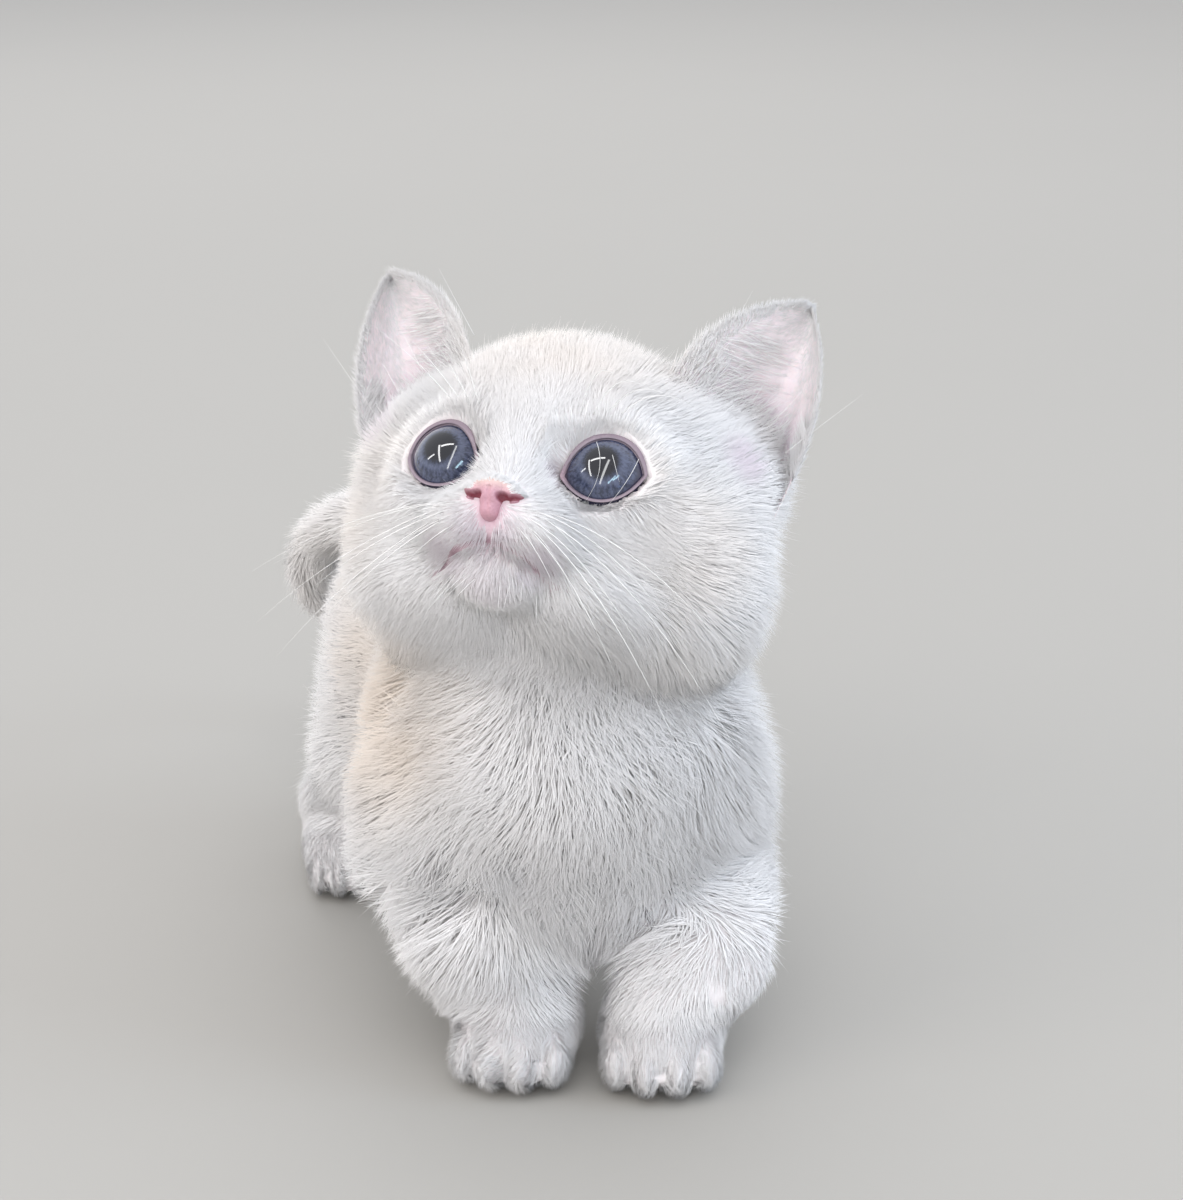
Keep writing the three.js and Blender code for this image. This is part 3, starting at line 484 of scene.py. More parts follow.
def capped(rings):
    """Points, quads and end triangles of a body whose rings are closed at both ends by their own middles."""
    rows, columns, _ = rings.shape
    points = np.vstack([rings.reshape(-1, 3), rings[0].mean(0), rings[-1].mean(0)])
    j = np.arange(columns)
    k = (j + 1) % columns
    first = np.stack([k, j, np.full(columns, rows * columns)], 1)
    last = np.stack([j, k, np.full(columns, 1)], 1) + (rows - 1) * columns
    last[:, 2] = rows * columns + 1
    return points, grid_faces(rows, columns, closed=True), np.vstack([first, last])


def facing_out(points, *faces):
    """The faces, all turned over if the body that they close is inside out."""
    volume = 0.0
    for f in faces:
        for a in range(1, f.shape[1] - 1):
            p, q, r = points[f[:, 0]], points[f[:, a]], points[f[:, a + 1]]
            volume += (p * np.cross(q, r)).sum()
    return faces if volume > 0 else tuple(f[:, ::-1] for f in faces)


def merged(parts):
    """Several (points, faces, ...) bodies as one, with the numbers of the faces moved along."""
    start = 0
    points, quads, triangles = [], [], []
    for part_points, *faces in parts:
        points.append(part_points)
        for f in facing_out(part_points, *faces):
            (quads if f.shape[1] == 4 else triangles).append(f + start)
        start += len(part_points)
    kept = [np.vstack(f) for f in (quads, triangles) if f]
    return np.vstack(points), kept


# Materials

def new_material(name):
    made = bpy.data.materials.new(name)
    made.use_nodes = True
    tree = made.node_tree
    shader = tree.nodes["Principled BSDF"]
    return made, tree, shader


def add_node(tree, kind, **settings):
    node = tree.nodes.new(kind)
    for name, value in settings.items():
        setattr(node, name, value)
    return node


def wire(tree, target, source):
    """Sets a socket to a plain value, or links another socket to it."""
    if isinstance(source, bpy.types.NodeSocket):
        tree.links.new(source, target)
    else:
        target.default_value = source


def maths(tree, operation, *inputs):
    node = add_node(tree, "ShaderNodeMath", operation=operation)
    for socket, source in zip(node.inputs, inputs):
        wire(tree, socket, source)
    return node.outputs[0]


def blend_colour(tree, factor, a, b, blend_type="MIX"):
    node = add_node(tree, "ShaderNodeMix", data_type="RGBA", blend_type=blend_type)
    wire(tree, node.inputs["Factor"], factor)
    for socket, source in ((node.inputs[6], a), (node.inputs[7], b)):
        wire(tree, socket, (*source, 1) if isinstance(source, tuple) else source)
    return node.outputs[2]


def remap(tree, value, low, high, to_low=0.0, to_high=1.0):
    node = add_node(tree, "ShaderNodeMapRange", interpolation_type="SMOOTHSTEP")
    for socket, source in zip(node.inputs, (value, low, high, to_low, to_high)):
        wire(tree, socket, source)
    return node.outputs[0]


def noise(tree, place, scale, detail=2.0, roughness=0.5):
    node = add_node(tree, "ShaderNodeTexNoise")
    wire(tree, node.inputs["Vector"], place)
    wire(tree, node.inputs["Scale"], scale)
    node.inputs["Detail"].default_value = detail
    node.inputs["Roughness"].default_value = roughness
    return node.outputs["Fac"]


def attribute(tree, name):
    return add_node(tree, "ShaderNodeAttribute", attribute_name=name)


def object_place(tree):
    return add_node(tree, "ShaderNodeTexCoord").outputs["Object"]


def new_group(name, inputs, outputs):
    """A node group with its named sockets: (name, kind, value) going in and (name, kind) coming out."""
    group = bpy.data.node_groups.new(name, "ShaderNodeTree")
    for label, kind, value in inputs:
        socket = group.interface.new_socket(name=label, in_out="INPUT", socket_type=kind)
        if value is not None:
            socket.default_value = value
    for label, kind in outputs:
        group.interface.new_socket(name=label, in_out="OUTPUT", socket_type=kind)
    return group, group.nodes.new("NodeGroupInput").outputs, group.nodes.new("NodeGroupOutput").inputs


def use_group(tree, group, **inputs):
    node = add_node(tree, "ShaderNodeGroup", node_tree=group)
    for label, source in inputs.items():
        wire(tree, node.inputs[label], source)
    return node.outputs


def patch(place, radius, strength):
    """A soft patch of cream or lilac, some of the lilac ones painted shade: its middle and radius in metres,
    and how strong it is there.
    """
    middle = tuple(float(x) for x in (np.array(place, float) + SHIFT) * MM)
    return middle, radius * MM, strength


CREAM_PATCHES = (
    patch((-34, -22, 66), 30, 0.6),
    patch((-30, 14, 66), 42, 0.5),
    patch((0, 40, 88), 52, 0.5),
    patch((0, 92, 66), 30, 0.25),
    patch((-14, 128, 48), 42, 0.12),
    patch((28, 40, 62), 34, 0.35),
    patch(from_head((2, -12, 36)), 32, 0.36),
    patch(from_head((30, -14, -4)), 17, 0.26),
    patch(from_head((-32, -10, 0)), 22, 0.26),
)
# Lilac where the skin shows through, and partly painted shade at the ears' roots
LILAC_SKIN_AND_SHADE_PATCHES = (
    patch(from_head((0, -34, -14)), 9, 0.55),
    patch(from_head((9, -30, -18)), 7, 0.5),
    patch(from_head((-9, -30, -18)), 7, 0.5),
    patch(from_head((0, -29, -22)), 9, 0.3),
    patch(from_head((6.5, -25, 1)), 4, 0.5),
    patch(from_head((-6.5, -25, 1)), 4, 0.4),
    # The hollows at the ears' roots: partly skin showing through short fur, partly painted shade
    patch(from_head(EAR_HOLLOW * (1, 1, 1)), 7, 0.6),
    patch(from_head(EAR_HOLLOW * (-1, 1, 1)), 7, 0.4),
)


def strongest_patch(tree, place, patches):
    """The greatest of some patches' strengths, each fading out with the distance from its middle."""
    most = None
    for middle, radius, strength in patches:
        away = add_node(tree, "ShaderNodeVectorMath", operation="DISTANCE")
        wire(tree, away.inputs[0], place)
        away.inputs[1].default_value = middle
        soft = remap(tree, away.outputs["Value"], 0.25 * radius, 1.1 * radius, strength, 0.0)
        most = soft if most is None else maths(tree, "MAXIMUM", most, soft)
    return most


def make_markings():
    """White, with soft cream patches broken up by noise, and lilac where the skin shows through and, in the
    hollows at the ears' roots, partly as painted shade.
    """
    group, given, out = new_group(
        "kitten_markings",
        [("Place", "NodeSocketVector", None)],
        [("Color", "NodeSocketColor"), ("Cream", "NodeSocketFloat")],
    )
    cream = strongest_patch(group, given["Place"], CREAM_PATCHES)
    broken = noise(group, given["Place"], 55.0, 3.0)
    cream = maths(group, "MULTIPLY", cream, remap(group, broken, 0.25, 0.75, 0.6, 1.15))
    colour = blend_colour(group, cream, WHITE, CREAM)
    lilac_skin_and_shade = strongest_patch(group, given["Place"], LILAC_SKIN_AND_SHADE_PATCHES)
    wire(group, out["Cream"], cream)
    wire(group, out["Color"], blend_colour(group, lilac_skin_and_shade, colour, LILAC))
    return group


def make_mottle():
    """A gentle unevenness about 1, from two sizes of noise."""
    group, given, out = new_group(
        "soft_mottle",
        [
            ("Place", "NodeSocketVector", None),
            ("Scale", "NodeSocketFloat", 200.0),
            ("Amount", "NodeSocketFloat", 0.1),
        ],
        [("Factor", "NodeSocketFloat")],
    )
    both = noise(group, given["Place"], given["Scale"], 4.0, 0.6)
    centred = maths(group, "SUBTRACT", both, 0.5)
    scaled = maths(group, "MULTIPLY", centred, given["Amount"])
    wire(group, out["Factor"], maths(group, "ADD", maths(group, "MULTIPLY", scaled, 2.0), 1.0))
    return group


def make_grain():
    """A normal roughened by fine skin grain."""
    group, given, out = new_group(
        "skin_grain",
        [
            ("Place", "NodeSocketVector", None),
            ("Scale", "NodeSocketFloat", 1200.0),
            ("Strength", "NodeSocketFloat", 0.2),
        ],
        [("Normal", "NodeSocketVector")],
    )
    cells = add_node(group, "ShaderNodeTexVoronoi", feature="SMOOTH_F1")
    wire(group, cells.inputs["Vector"], given["Place"])
    wire(group, cells.inputs["Scale"], given["Scale"])
    bump = add_node(group, "ShaderNodeBump")
    bump.inputs["Distance"].default_value = 0.0003
    wire(group, bump.inputs["Height"], cells.outputs["Distance"])
    wire(group, bump.inputs["Strength"], given["Strength"])
    wire(group, out["Normal"], bump.outputs["Normal"])
    return group


MARKINGS = make_markings()
MOTTLE = make_mottle()
GRAIN = make_grain()


def times(tree, colour, factor):
    """A colour with all three of its parts multiplied by one factor."""
    shade = add_node(tree, "ShaderNodeCombineColor")
    for socket in shade.inputs:
        wire(tree, socket, factor)
    return blend_colour(tree, 1.0, colour, shade.outputs[0], "MULTIPLY")


def tinted(tree, colour, place, scale, amount):
    """A colour made a little lighter and darker by the mottle."""
    return times(tree, colour, use_group(tree, MOTTLE, Place=place, Scale=scale, Amount=amount)["Factor"])


def add_grain(tree, shader, place, scale, strength):
    """Feeds the skin's grain to the shader's normal."""
    grain = use_group(tree, GRAIN, Place=place, Scale=scale, Strength=strength)
    wire(tree, shader.inputs["Normal"], grain["Normal"])


def make_coat_material():
    """Markings, made lighter or darker at random for each tuft, darker on short tufts as painted shade, and
    warmer and a little darker at its root, partly as painted shade.
    """
    made, tree, shader = new_material("kitten_coat")
    place = object_place(tree)
    colour = use_group(tree, MARKINGS, Place=place)["Color"]
    colour = tinted(tree, colour, place, 260.0, 0.05)
    along = attribute(tree, "along").outputs["Fac"]
    # Partly painted shade: each tuft is mixed towards the warmer, darker root colour near its root
    root = remap(tree, along, 0.0, 0.6, 0.2, 0.0)
    colour = blend_colour(tree, root, colour, COAT_ROOT)
    # Painted shade and tone: the shade value darkens short tufts to stand in for the longer coat's
    # self-shadowing, and varies each tuft at random
    colour = times(tree, colour, attribute(tree, "shade").outputs["Fac"])
    wire(tree, shader.inputs["Base Color"], colour)
    shader.inputs["Roughness"].default_value = 0.62
    shader.inputs["Specular IOR Level"].default_value = 0.25
    shader.inputs["Sheen Weight"].default_value = 0.35
    shader.inputs["Sheen Roughness"].default_value = 0.4
    return made


def make_skin_material():
    """The markings over greyish pink skin, partly its own colour and partly painted shade, bare and rosy
    where the bare value says, darker along the lips.
    """
    made, tree, shader = new_material("kitten_skin")
    place = object_place(tree)
    colour = use_group(tree, MARKINGS, Place=place)["Color"]
    # Partly painted shade: the skin is mixed 4 in 10 with a greyish pink so that bare skin is no brighter
    # than the shaded fur
    colour = blend_colour(tree, 0.4, colour, SKIN_TINT_AND_PAINTED_SHADE)
    bare = attribute(tree, "bare").outputs["Fac"]
    colour = blend_colour(tree, bare, colour, ROSY_SKIN)
    dark = attribute(tree, "line").outputs["Fac"]
    colour = blend_colour(tree, dark, colour, LIP_LINE)
    wire(tree, shader.inputs["Base Color"], tinted(tree, colour, place, 500.0, 0.10))
    add_grain(tree, shader, place, 1500.0, 0.25)
    shader.inputs["Roughness"].default_value = 0.55
    return made


def make_ear_material():
    """Thin pink skin, darker purple in the hollow where the deep value is high, partly the skin's tint and
    partly painted shade, with faint veins.
    """
    made, tree, shader = new_material("ear_skin")
    place = object_place(tree)
    deep = attribute(tree, "deep").outputs["Fac"]
    outside = attribute(tree, "outside").outputs["Fac"]
    # Partly painted shade: darker purple deep in the cup near its root, over the skin's own purple tint
    inner = blend_colour(tree, deep, (0.88, 0.79, 0.82), (0.60, 0.44, 0.58))
    veins = noise(tree, place, 130.0, 5.0, 0.65)
    inner = blend_colour(tree, remap(tree, veins, 0.52, 0.66, 0.0, 0.12), inner, (0.74, 0.50, 0.56))
    outer = blend_colour(tree, 0.35, use_group(tree, MARKINGS, Place=place)["Color"], (0.80, 0.60, 0.58))
    colour = blend_colour(tree, outside, inner, outer)
    wire(tree, shader.inputs["Base Color"], tinted(tree, colour, place, 420.0, 0.12))
    add_grain(tree, shader, place, 1400.0, 0.2)
    shader.inputs["Roughness"].default_value = 0.5
    shader.inputs["Subsurface Weight"].default_value = 0.15
    shader.inputs["Subsurface Radius"].default_value = (0.004, 0.0015, 0.001)
    return made


def make_lid_material():
    """Dark along the rim, then mauve-grey and pale skin away from the eye, and pink at the inner corner."""
    made, tree, shader = new_material("eyelid_skin")
    place = object_place(tree)
    off = attribute(tree, "off_rim").outputs["Fac"]
    corner = attribute(tree, "corner").outputs["Fac"]
    colour = blend_colour(tree, remap(tree, off, 0.10, 0.34), (0.030, 0.024, 0.045), (0.26, 0.20, 0.24))
    colour = blend_colour(tree, remap(tree, off, 0.44, 0.62), colour, (0.52, 0.44, 0.47))
    colour = blend_colour(tree, corner, colour, (0.50, 0.36, 0.42))
    wire(tree, shader.inputs["Base Color"], tinted(tree, colour, place, 900.0, 0.12))
    add_grain(tree, shader, place, 2400.0, 0.25)
    wire(tree, shader.inputs["Roughness"], remap(tree, off, 0.0, 0.4, 0.22, 0.5))
    return made


def make_nose_material():
    """Rose leather with a tan top, finely pebbled, and dark red inside the nostrils, partly their darker skin
    and partly painted shade of the holes.
    """
    made, tree, shader = new_material("nose_leather")
    place = object_place(tree)
    top = attribute(tree, "top").outputs["Fac"]
    hole = attribute(tree, "hole").outputs["Fac"]
    colour = blend_colour(tree, top, (0.54, 0.29, 0.35), (0.70, 0.54, 0.48))
    # Partly painted shade: the hole value darkens the nostrils to stand in for their depth, over their darker
    # red skin
    colour = blend_colour(tree, hole, colour, (0.20, 0.035, 0.055))
    wire(tree, shader.inputs["Base Color"], tinted(tree, colour, place, 900.0, 0.16))
    add_grain(tree, shader, place, 2600.0, 0.45)
    wire(tree, shader.inputs["Roughness"], remap(tree, noise(tree, place, 700.0), 0.3, 0.7, 0.42, 0.58))
    shader.inputs["Coat Weight"].default_value = 0.08
    return made


def make_eye_material():
    """Pupil, fibrous slate-blue iris, a navy ring and then white, by the distance from the pupil's middle."""
    made, tree, shader = new_material("eye_ball")
    disc = attribute(tree, "disc").outputs["Vector"]
    split = add_node(tree, "ShaderNodeSeparateXYZ")
    wire(tree, split.inputs[0], disc)
    radius = split.outputs["Z"]
    direction = add_node(tree, "ShaderNodeVectorMath", operation="NORMALIZE")
    flat = add_node(tree, "ShaderNodeCombineXYZ")
    wire(tree, flat.inputs[0], split.outputs["X"])
    wire(tree, flat.inputs[1], split.outputs["Y"])
    wire(tree, direction.inputs[0], flat.outputs[0])
    spread = add_node(tree, "ShaderNodeCombineXYZ")
    polar = add_node(tree, "ShaderNodeSeparateXYZ")
    wire(tree, polar.inputs[0], direction.outputs[0])
    wire(tree, spread.inputs[0], polar.outputs["X"])
    wire(tree, spread.inputs[1], polar.outputs["Y"])
    wire(tree, spread.inputs[2], maths(tree, "MULTIPLY", radius, 0.16))
    fibres = noise(tree, spread.outputs[0], 9.0, 5.0, 0.62)
    iris = blend_colour(tree, remap(tree, fibres, 0.34, 0.66), (0.022, 0.027, 0.052), (0.080, 0.095, 0.160))
    ring_starts, ring_ends = remap(tree, radius, 3.0, 3.8), remap(tree, radius, 3.8, 4.8, 1.0, 0.0)
    inner_ring = maths(tree, "MULTIPLY", ring_starts, ring_ends)
    iris = blend_colour(tree, maths(tree, "MULTIPLY", inner_ring, 0.55), iris, (0.10, 0.115, 0.18))
    edge = maths(tree, "ADD", radius, maths(tree, "MULTIPLY", fibres, 0.5))
    iris = blend_colour(tree, remap(tree, edge, 5.9, 6.9), iris, (0.022, 0.022, 0.05))
    pupil = remap(tree, maths(tree, "ADD", radius, maths(tree, "MULTIPLY", fibres, 0.3)), 2.5, 3.9, 1.0, 0.0)
    colour = blend_colour(tree, pupil, iris, (0.007, 0.007, 0.011))
    colour = blend_colour(tree, remap(tree, radius, 7.2, 7.6), colour, (0.25, 0.22, 0.24))
    wire(tree, shader.inputs["Base Color"], colour)
    shader.inputs["Roughness"].default_value = 0.06
    shader.inputs["Specular IOR Level"].default_value = 0.2
    shader.inputs["Coat Weight"].default_value = 1.0
    shader.inputs["Coat Roughness"].default_value = 0.02
    return made


def make_whisker_material():
    made, tree, shader = new_material("whisker_white")
    place = object_place(tree)
    wire(tree, shader.inputs["Base Color"], tinted(tree, (0.90, 0.89, 0.88), place, 300.0, 0.05))
    shader.inputs["Roughness"].default_value = 0.35
    return made


def make_floor_material():
    made, tree, shader = new_material("pale_floor")
    place = object_place(tree)
    wire(tree, shader.inputs["Base Color"], tinted(tree, FLOOR_GREY, place, 3.0, 0.02))
    shader.inputs["Roughness"].default_value = 0.6
    return made


COAT = make_coat_material()


# The camera, where the photograph was taken from, and the lights

def make_camera():
    """Looks slightly down, along a line that passes through the kitten's chest. Gives its place in metres."""
    data = bpy.data.cameras.new("photo_camera")
    data.lens = 90
    data.sensor_width = 36
    data.clip_start = 0.01
    data.clip_end = 50
    camera = bpy.data.objects.new("photo_camera", data)
    bpy.context.scene.collection.objects.link(camera)
    look = unit(np.array((0.278, 0.909, -0.309)))
    across = unit(np.cross(look, (0, 0, 1)))
    axes = np.stack([across, np.cross(across, look), -look], 1)
    place = np.eye(4)
    place[:3, :3] = axes
    place[:3, 3] = (np.array((-153.6, -541.8, 260)) + SHIFT) * MM
    camera.matrix_world = Matrix(place.tolist())
    bpy.context.scene.camera = camera
    return place[:3, 3]


def add_light(name, place, aim, size, power, colour=(1, 1, 1), mirrored=False):
    """A rectangular lamp at a place, facing another place, both in metres. Mirrored ones show in the eyes
    and light nothing else, and the others light everything but show nowhere."""
    data = bpy.data.lights.new(name, "AREA")
    data.shape = "RECTANGLE"
    data.size, data.size_y = size
    data.energy = power
    data.color = colour
    lamp = bpy.data.objects.new(name, data)
    bpy.context.scene.collection.objects.link(lamp)
    lamp.visible_glossy = mirrored
    lamp.visible_diffuse = not mirrored
    back = unit(np.array(place, float) - np.array(aim, float))
    across = unit(np.cross((0, 0, 1), back) + (1e-6, 0, 0))
    axes = np.eye(4)
    axes[:3, :3] = np.stack([across, np.cross(back, across), back], 1)
    axes[:3, 3] = place
    lamp.matrix_world = Matrix(axes.tolist())
    return lamp


camera_place = make_camera()

# The studio's lamps: place in metres, size, power and colour. All of them aim at the kitten's chest.
CHEST_AIM = (0, -0.02, 0.08)
LAMPS = (
    ("soft_top", (-0.3, -0.5, 1.5), (1.6, 1.6), 6.0, (1.0, 1.0, 1.0)),
    ("soft_front", (-0.7, -1.6, 0.9), (1.2, 1.2), 8.5, (1.0, 1.0, 1.0)),
    ("window_side", (1.3, -0.7, 0.7), (0.9, 0.9), 8.0, (0.70, 0.84, 1.0)),
    ("warm_side", (-1.4, -0.3, 0.6), (0.9, 0.9), 5.5, (1.0, 0.92, 0.83)),
    ("back_rim", (0.2, 1.3, 0.9), (1.0, 0.7), 4.0, (1.0, 1.0, 1.0)),
)
for lamp_name, lamp_place, lamp_size, lamp_power, lamp_colour in LAMPS:
    add_light(lamp_name, lamp_place, CHEST_AIM, lamp_size, lamp_power, lamp_colour)

# The eyes' glints: where each strip starts and ends on the eye, its width, power and colour
EYE_GLINTS = (
    ("glint_upright_left", (-3.0, 4.0), (-2.7, 0.9), 0.06, 1.8, (1.0, 1.0, 1.0)),
    ("glint_upright_right", (0.6, 4.0), (-1.1, -0.8), 0.065, 2.0, (1.0, 1.0, 1.0)),
    ("glint_bar", (-2.7, 3.8), (-0.1, 4.3), 0.065, 1.7, (1.0, 1.0, 1.0)),
    ("glint_dash", (-5.0, 1.4), (-3.8, 2.4), 0.05, 0.7, (1.0, 1.0, 1.0)),
    ("glint_low_a", (0.5, -0.6), (1.9, 1.0), 0.06, 1.0, (0.55, 0.85, 1.0)),
    ("glint_low_b", (1.5, 0.0), (2.7, 1.0), 0.055, 0.9, (0.55, 0.85, 1.0)),
    ("glint_low_c", (1.0, -2.1), (3.3, -1.8), 0.08, 1.1, (0.45, 0.80, 1.0)),
    ("glint_patch", (1.6, -3.0), (3.4, -2.2), 0.5, 1.2, (0.25, 0.50, 1.0)),
)


def add_eye_lights():
    """Bright strips that the eyes mirror as an open rectangle over the pupil and bluish dashes below it. Each
    strip's ends are given by where they show on the eye, in millimetres right and up of its middle."""
    eye = (from_head(eye_centre(1)) + SHIFT) * MM
    to_camera = unit(camera_place - eye)
    right = unit(np.cross((0, 0, 1), to_camera))
    over = np.cross(to_camera, right)
    for name, first, last, width, power, colour in EYE_GLINTS:
        ends = []
        for across, rise in (first, last):
            shine = np.array((across, rise)) / EYE["radius"]
            normal = shine[0] * right + shine[1] * over + np.sqrt(1 - shine @ shine) * to_camera
            ends.append(eye + 0.9 * (2 * (normal @ to_camera) * normal - to_camera))
        middle = (ends[0] + ends[1]) / 2
        size = (np.linalg.norm(ends[1] - ends[0]), width)
        lamp = add_light(name, middle, eye, size, power, colour, mirrored=True)
        back = unit(middle - eye)
        along = unit(ends[1] - ends[0])
        along = unit(along - (along @ back) * back)
        axes = np.eye(4)
        axes[:3, :3] = np.stack([along, np.cross(back, along), back], 1)
        axes[:3, 3] = middle
        lamp.matrix_world = Matrix(axes.tolist())


add_eye_lights()

world = bpy.data.worlds.new("pale_room")
world.use_nodes = True
world.node_tree.nodes["Background"].inputs["Color"].default_value = (0.86, 0.88, 0.92, 1)
world.node_tree.nodes["Background"].inputs["Strength"].default_value = 1.12
bpy.context.scene.world = world
bpy.context.scene.view_settings.view_transform = "Standard"


def make_floor():
    """A flat disc of rings whose radii grow, just under the soles."""
    angle = np.linspace(0, 2 * np.pi, 64, endpoint=False)
    radius = 8000 * np.linspace(0.02, 1, 12)[:, None] ** 2
    rings = np.stack([radius * np.cos(angle), radius * np.sin(angle), np.full((12, 64), -0.05)], -1)
    points = np.vstack([rings.reshape(-1, 3), [[0, 0, -0.05]]])
    j = np.arange(64)
    middle = np.stack([j, (j + 1) % 64, np.full(64, 12 * 64)], 1)
    mesh = make_mesh("floor", points, grid_faces(12, 64, closed=True)[:, ::-1], middle)
    mesh.materials.append(make_floor_material())
    floor = bpy.data.objects.new("floor", mesh)
    bpy.context.scene.collection.objects.link(floor)


make_floor()


# The eyes and their lids

def eye_axes(sign):
    """The way an eye looks, its direction away from the nose, and its up, in the head's frame."""
    aim = rotation(2, sign * EYE["out"]) @ rotation(0, -EYE["up"]) @ np.array((0, -1.0, 0))
    across = -unit(np.cross(aim, (0, 0, 1)))
    return aim, across * sign, np.cross(aim, across)


def opening_outline(count=240):
    """Two Bezier arcs, the upper lid's and the lower lid's, pointed at both corners."""
    w, h = EYE_OPENING
    t = np.linspace(0, 1, count // 2, endpoint=False)
    inner, outer = (-w / 2, -0.16 * h), (w / 2, 0.06 * h)
    upper = bezier([inner, (-0.32 * w, 0.72 * h), (0.3 * w, 0.78 * h), outer], t)
    lower = bezier([outer, (0.34 * w, -0.62 * h), (-0.2 * w, -0.72 * h), inner], t)
    return np.vstack([upper, lower])


def opening_angle(around):
    """How far, in radians, the lids' edge is from the eye's aim, for each angle around it."""
    outline = opening_outline()
    angles = np.arctan2(outline[:, 1], outline[:, 0])
    order = np.argsort(angles)
    spans = np.hypot(*outline[order].T)
    turns = np.concatenate([angles[order] - 2 * np.pi, angles[order], angles[order] + 2 * np.pi])
    return np.arcsin(np.clip(np.interp(around, turns, np.tile(spans, 3)) / EYE["radius"], 0, 1))


def seen_from_eye(h, sign):
    """Each place's distance from the eye's centre, its angle off the eye's aim, and its angle around it."""
    aim, across, over = eye_axes(sign)
    d = h - eye_centre(sign)
    away = np.linalg.norm(d, axis=1)
    off = np.arccos(np.clip((d @ aim) / np.maximum(away, 1e-9), -1, 1))
    return away, off, np.arctan2(d @ over, d @ across)


def eye_direction(sign, off, around):
    """The direction that is off the eye's aim by one angle, and around it by another."""
    aim, across, over = eye_axes(sign)
    ring = np.cos(around)[..., None] * across + np.sin(around)[..., None] * over
    return np.cos(off)[..., None] * aim + np.sin(off)[..., None] * ring


def make_eye(name, sign, finish):
    """A ball whose front bulges by a bell-shaped cornea, on a grid of angles off its aim and around it."""
    off = np.pi * np.linspace(0, 1, 72)[1:-1, None] ** 1.3
    around = np.linspace(0, 2 * np.pi, 96, endpoint=False)[None, :]
    off, around = np.broadcast_arrays(off, around)
    radius = EYE["radius"] + 0.45 * np.exp(-((off / 0.62) ** 4))
    rings = eye_centre(sign) + radius[..., None] * eye_direction(sign, off, around)
    points, quads, ends = capped(rings)
    quads, ends = facing_out(points, quads, ends)
    mesh = make_mesh("eye_" + name, from_head(points), quads, ends)
    _, spread, turn = seen_from_eye(points, sign)
    iris = EYE["radius"] * (np.sin(np.minimum(spread, np.pi / 2)) + np.maximum(spread - np.pi / 2, 0))
    disc = np.stack([iris * np.cos(turn) + 0.35, iris * np.sin(turn) - 0.5, iris], 1)
    disc[:, 2] = np.hypot(disc[:, 0], disc[:, 1])
    layer = mesh.attributes.new("disc", "FLOAT_VECTOR", "POINT")
    layer.data.foreach_set("vector", disc.astype(np.float32).ravel())
    place_piece("eye_%s_ball" % name, mesh, finish, "eye", "eye_" + name)


def head_reach(origin, direction, level):
    """How far along each direction the coat's outer surface, moved by the level, is met, found by halving."""
    near, far = np.full(len(direction), 5.0), np.full(len(direction), 22.0)
    for _ in range(18):
        half = (near + far) / 2
        inside = head_mass(origin + direction * half[:, None]) < level
        near, far = np.where(inside, half, near), np.where(inside, far, half)
    return near


LID_PROFILE = {
    "along": (0.0, 0.12, 0.22, 0.32, 0.44, 0.58, 0.75, 1.0),
    "out": (0.55, 0.10, -0.12, 0.0, 0.28, 0.62, 1.0, 1.9),
    "rise": (7.7, 8.22, 8.55, 8.85, 9.1, 9.2, 9.2, 9.2),
}
LID_VALLEY = {"level": 9.15, "shelf": 0.13, "incline": 1.1}
# The skin round an eye: its reach in the opening and under the lids, and how far past their edge each ends
SOCKET = {"floor": 7.0, "under_lid": 8.8, "floor_ends": 0.8, "shelf_ends": 1.1, "fur_starts": 0.85}


def valley(off, edge):
    """The most that the face may rise from the eye's centre: a shelf level with the lid, then up a slope."""
    beyond = np.maximum(off - edge - LID_VALLEY["shelf"], 0)
    return LID_VALLEY["level"] + LID_VALLEY["incline"] * EYE["radius"] * beyond


def beside_eye(h, sign):
    """Seen straight along an eye's aim, in millimetres: how far each place is in front of the eye's centre,
    how far from the line of its aim, and how far the lids' edge is from that line."""
    aim, across, over = eye_axes(sign)
    d = h - eye_centre(sign)
    front = d @ aim
    flat = d - front[:, None] * aim
    around = np.arctan2(flat @ over, flat @ across)
    return front, np.linalg.norm(flat, axis=1), EYE["radius"] * np.sin(opening_angle(around))


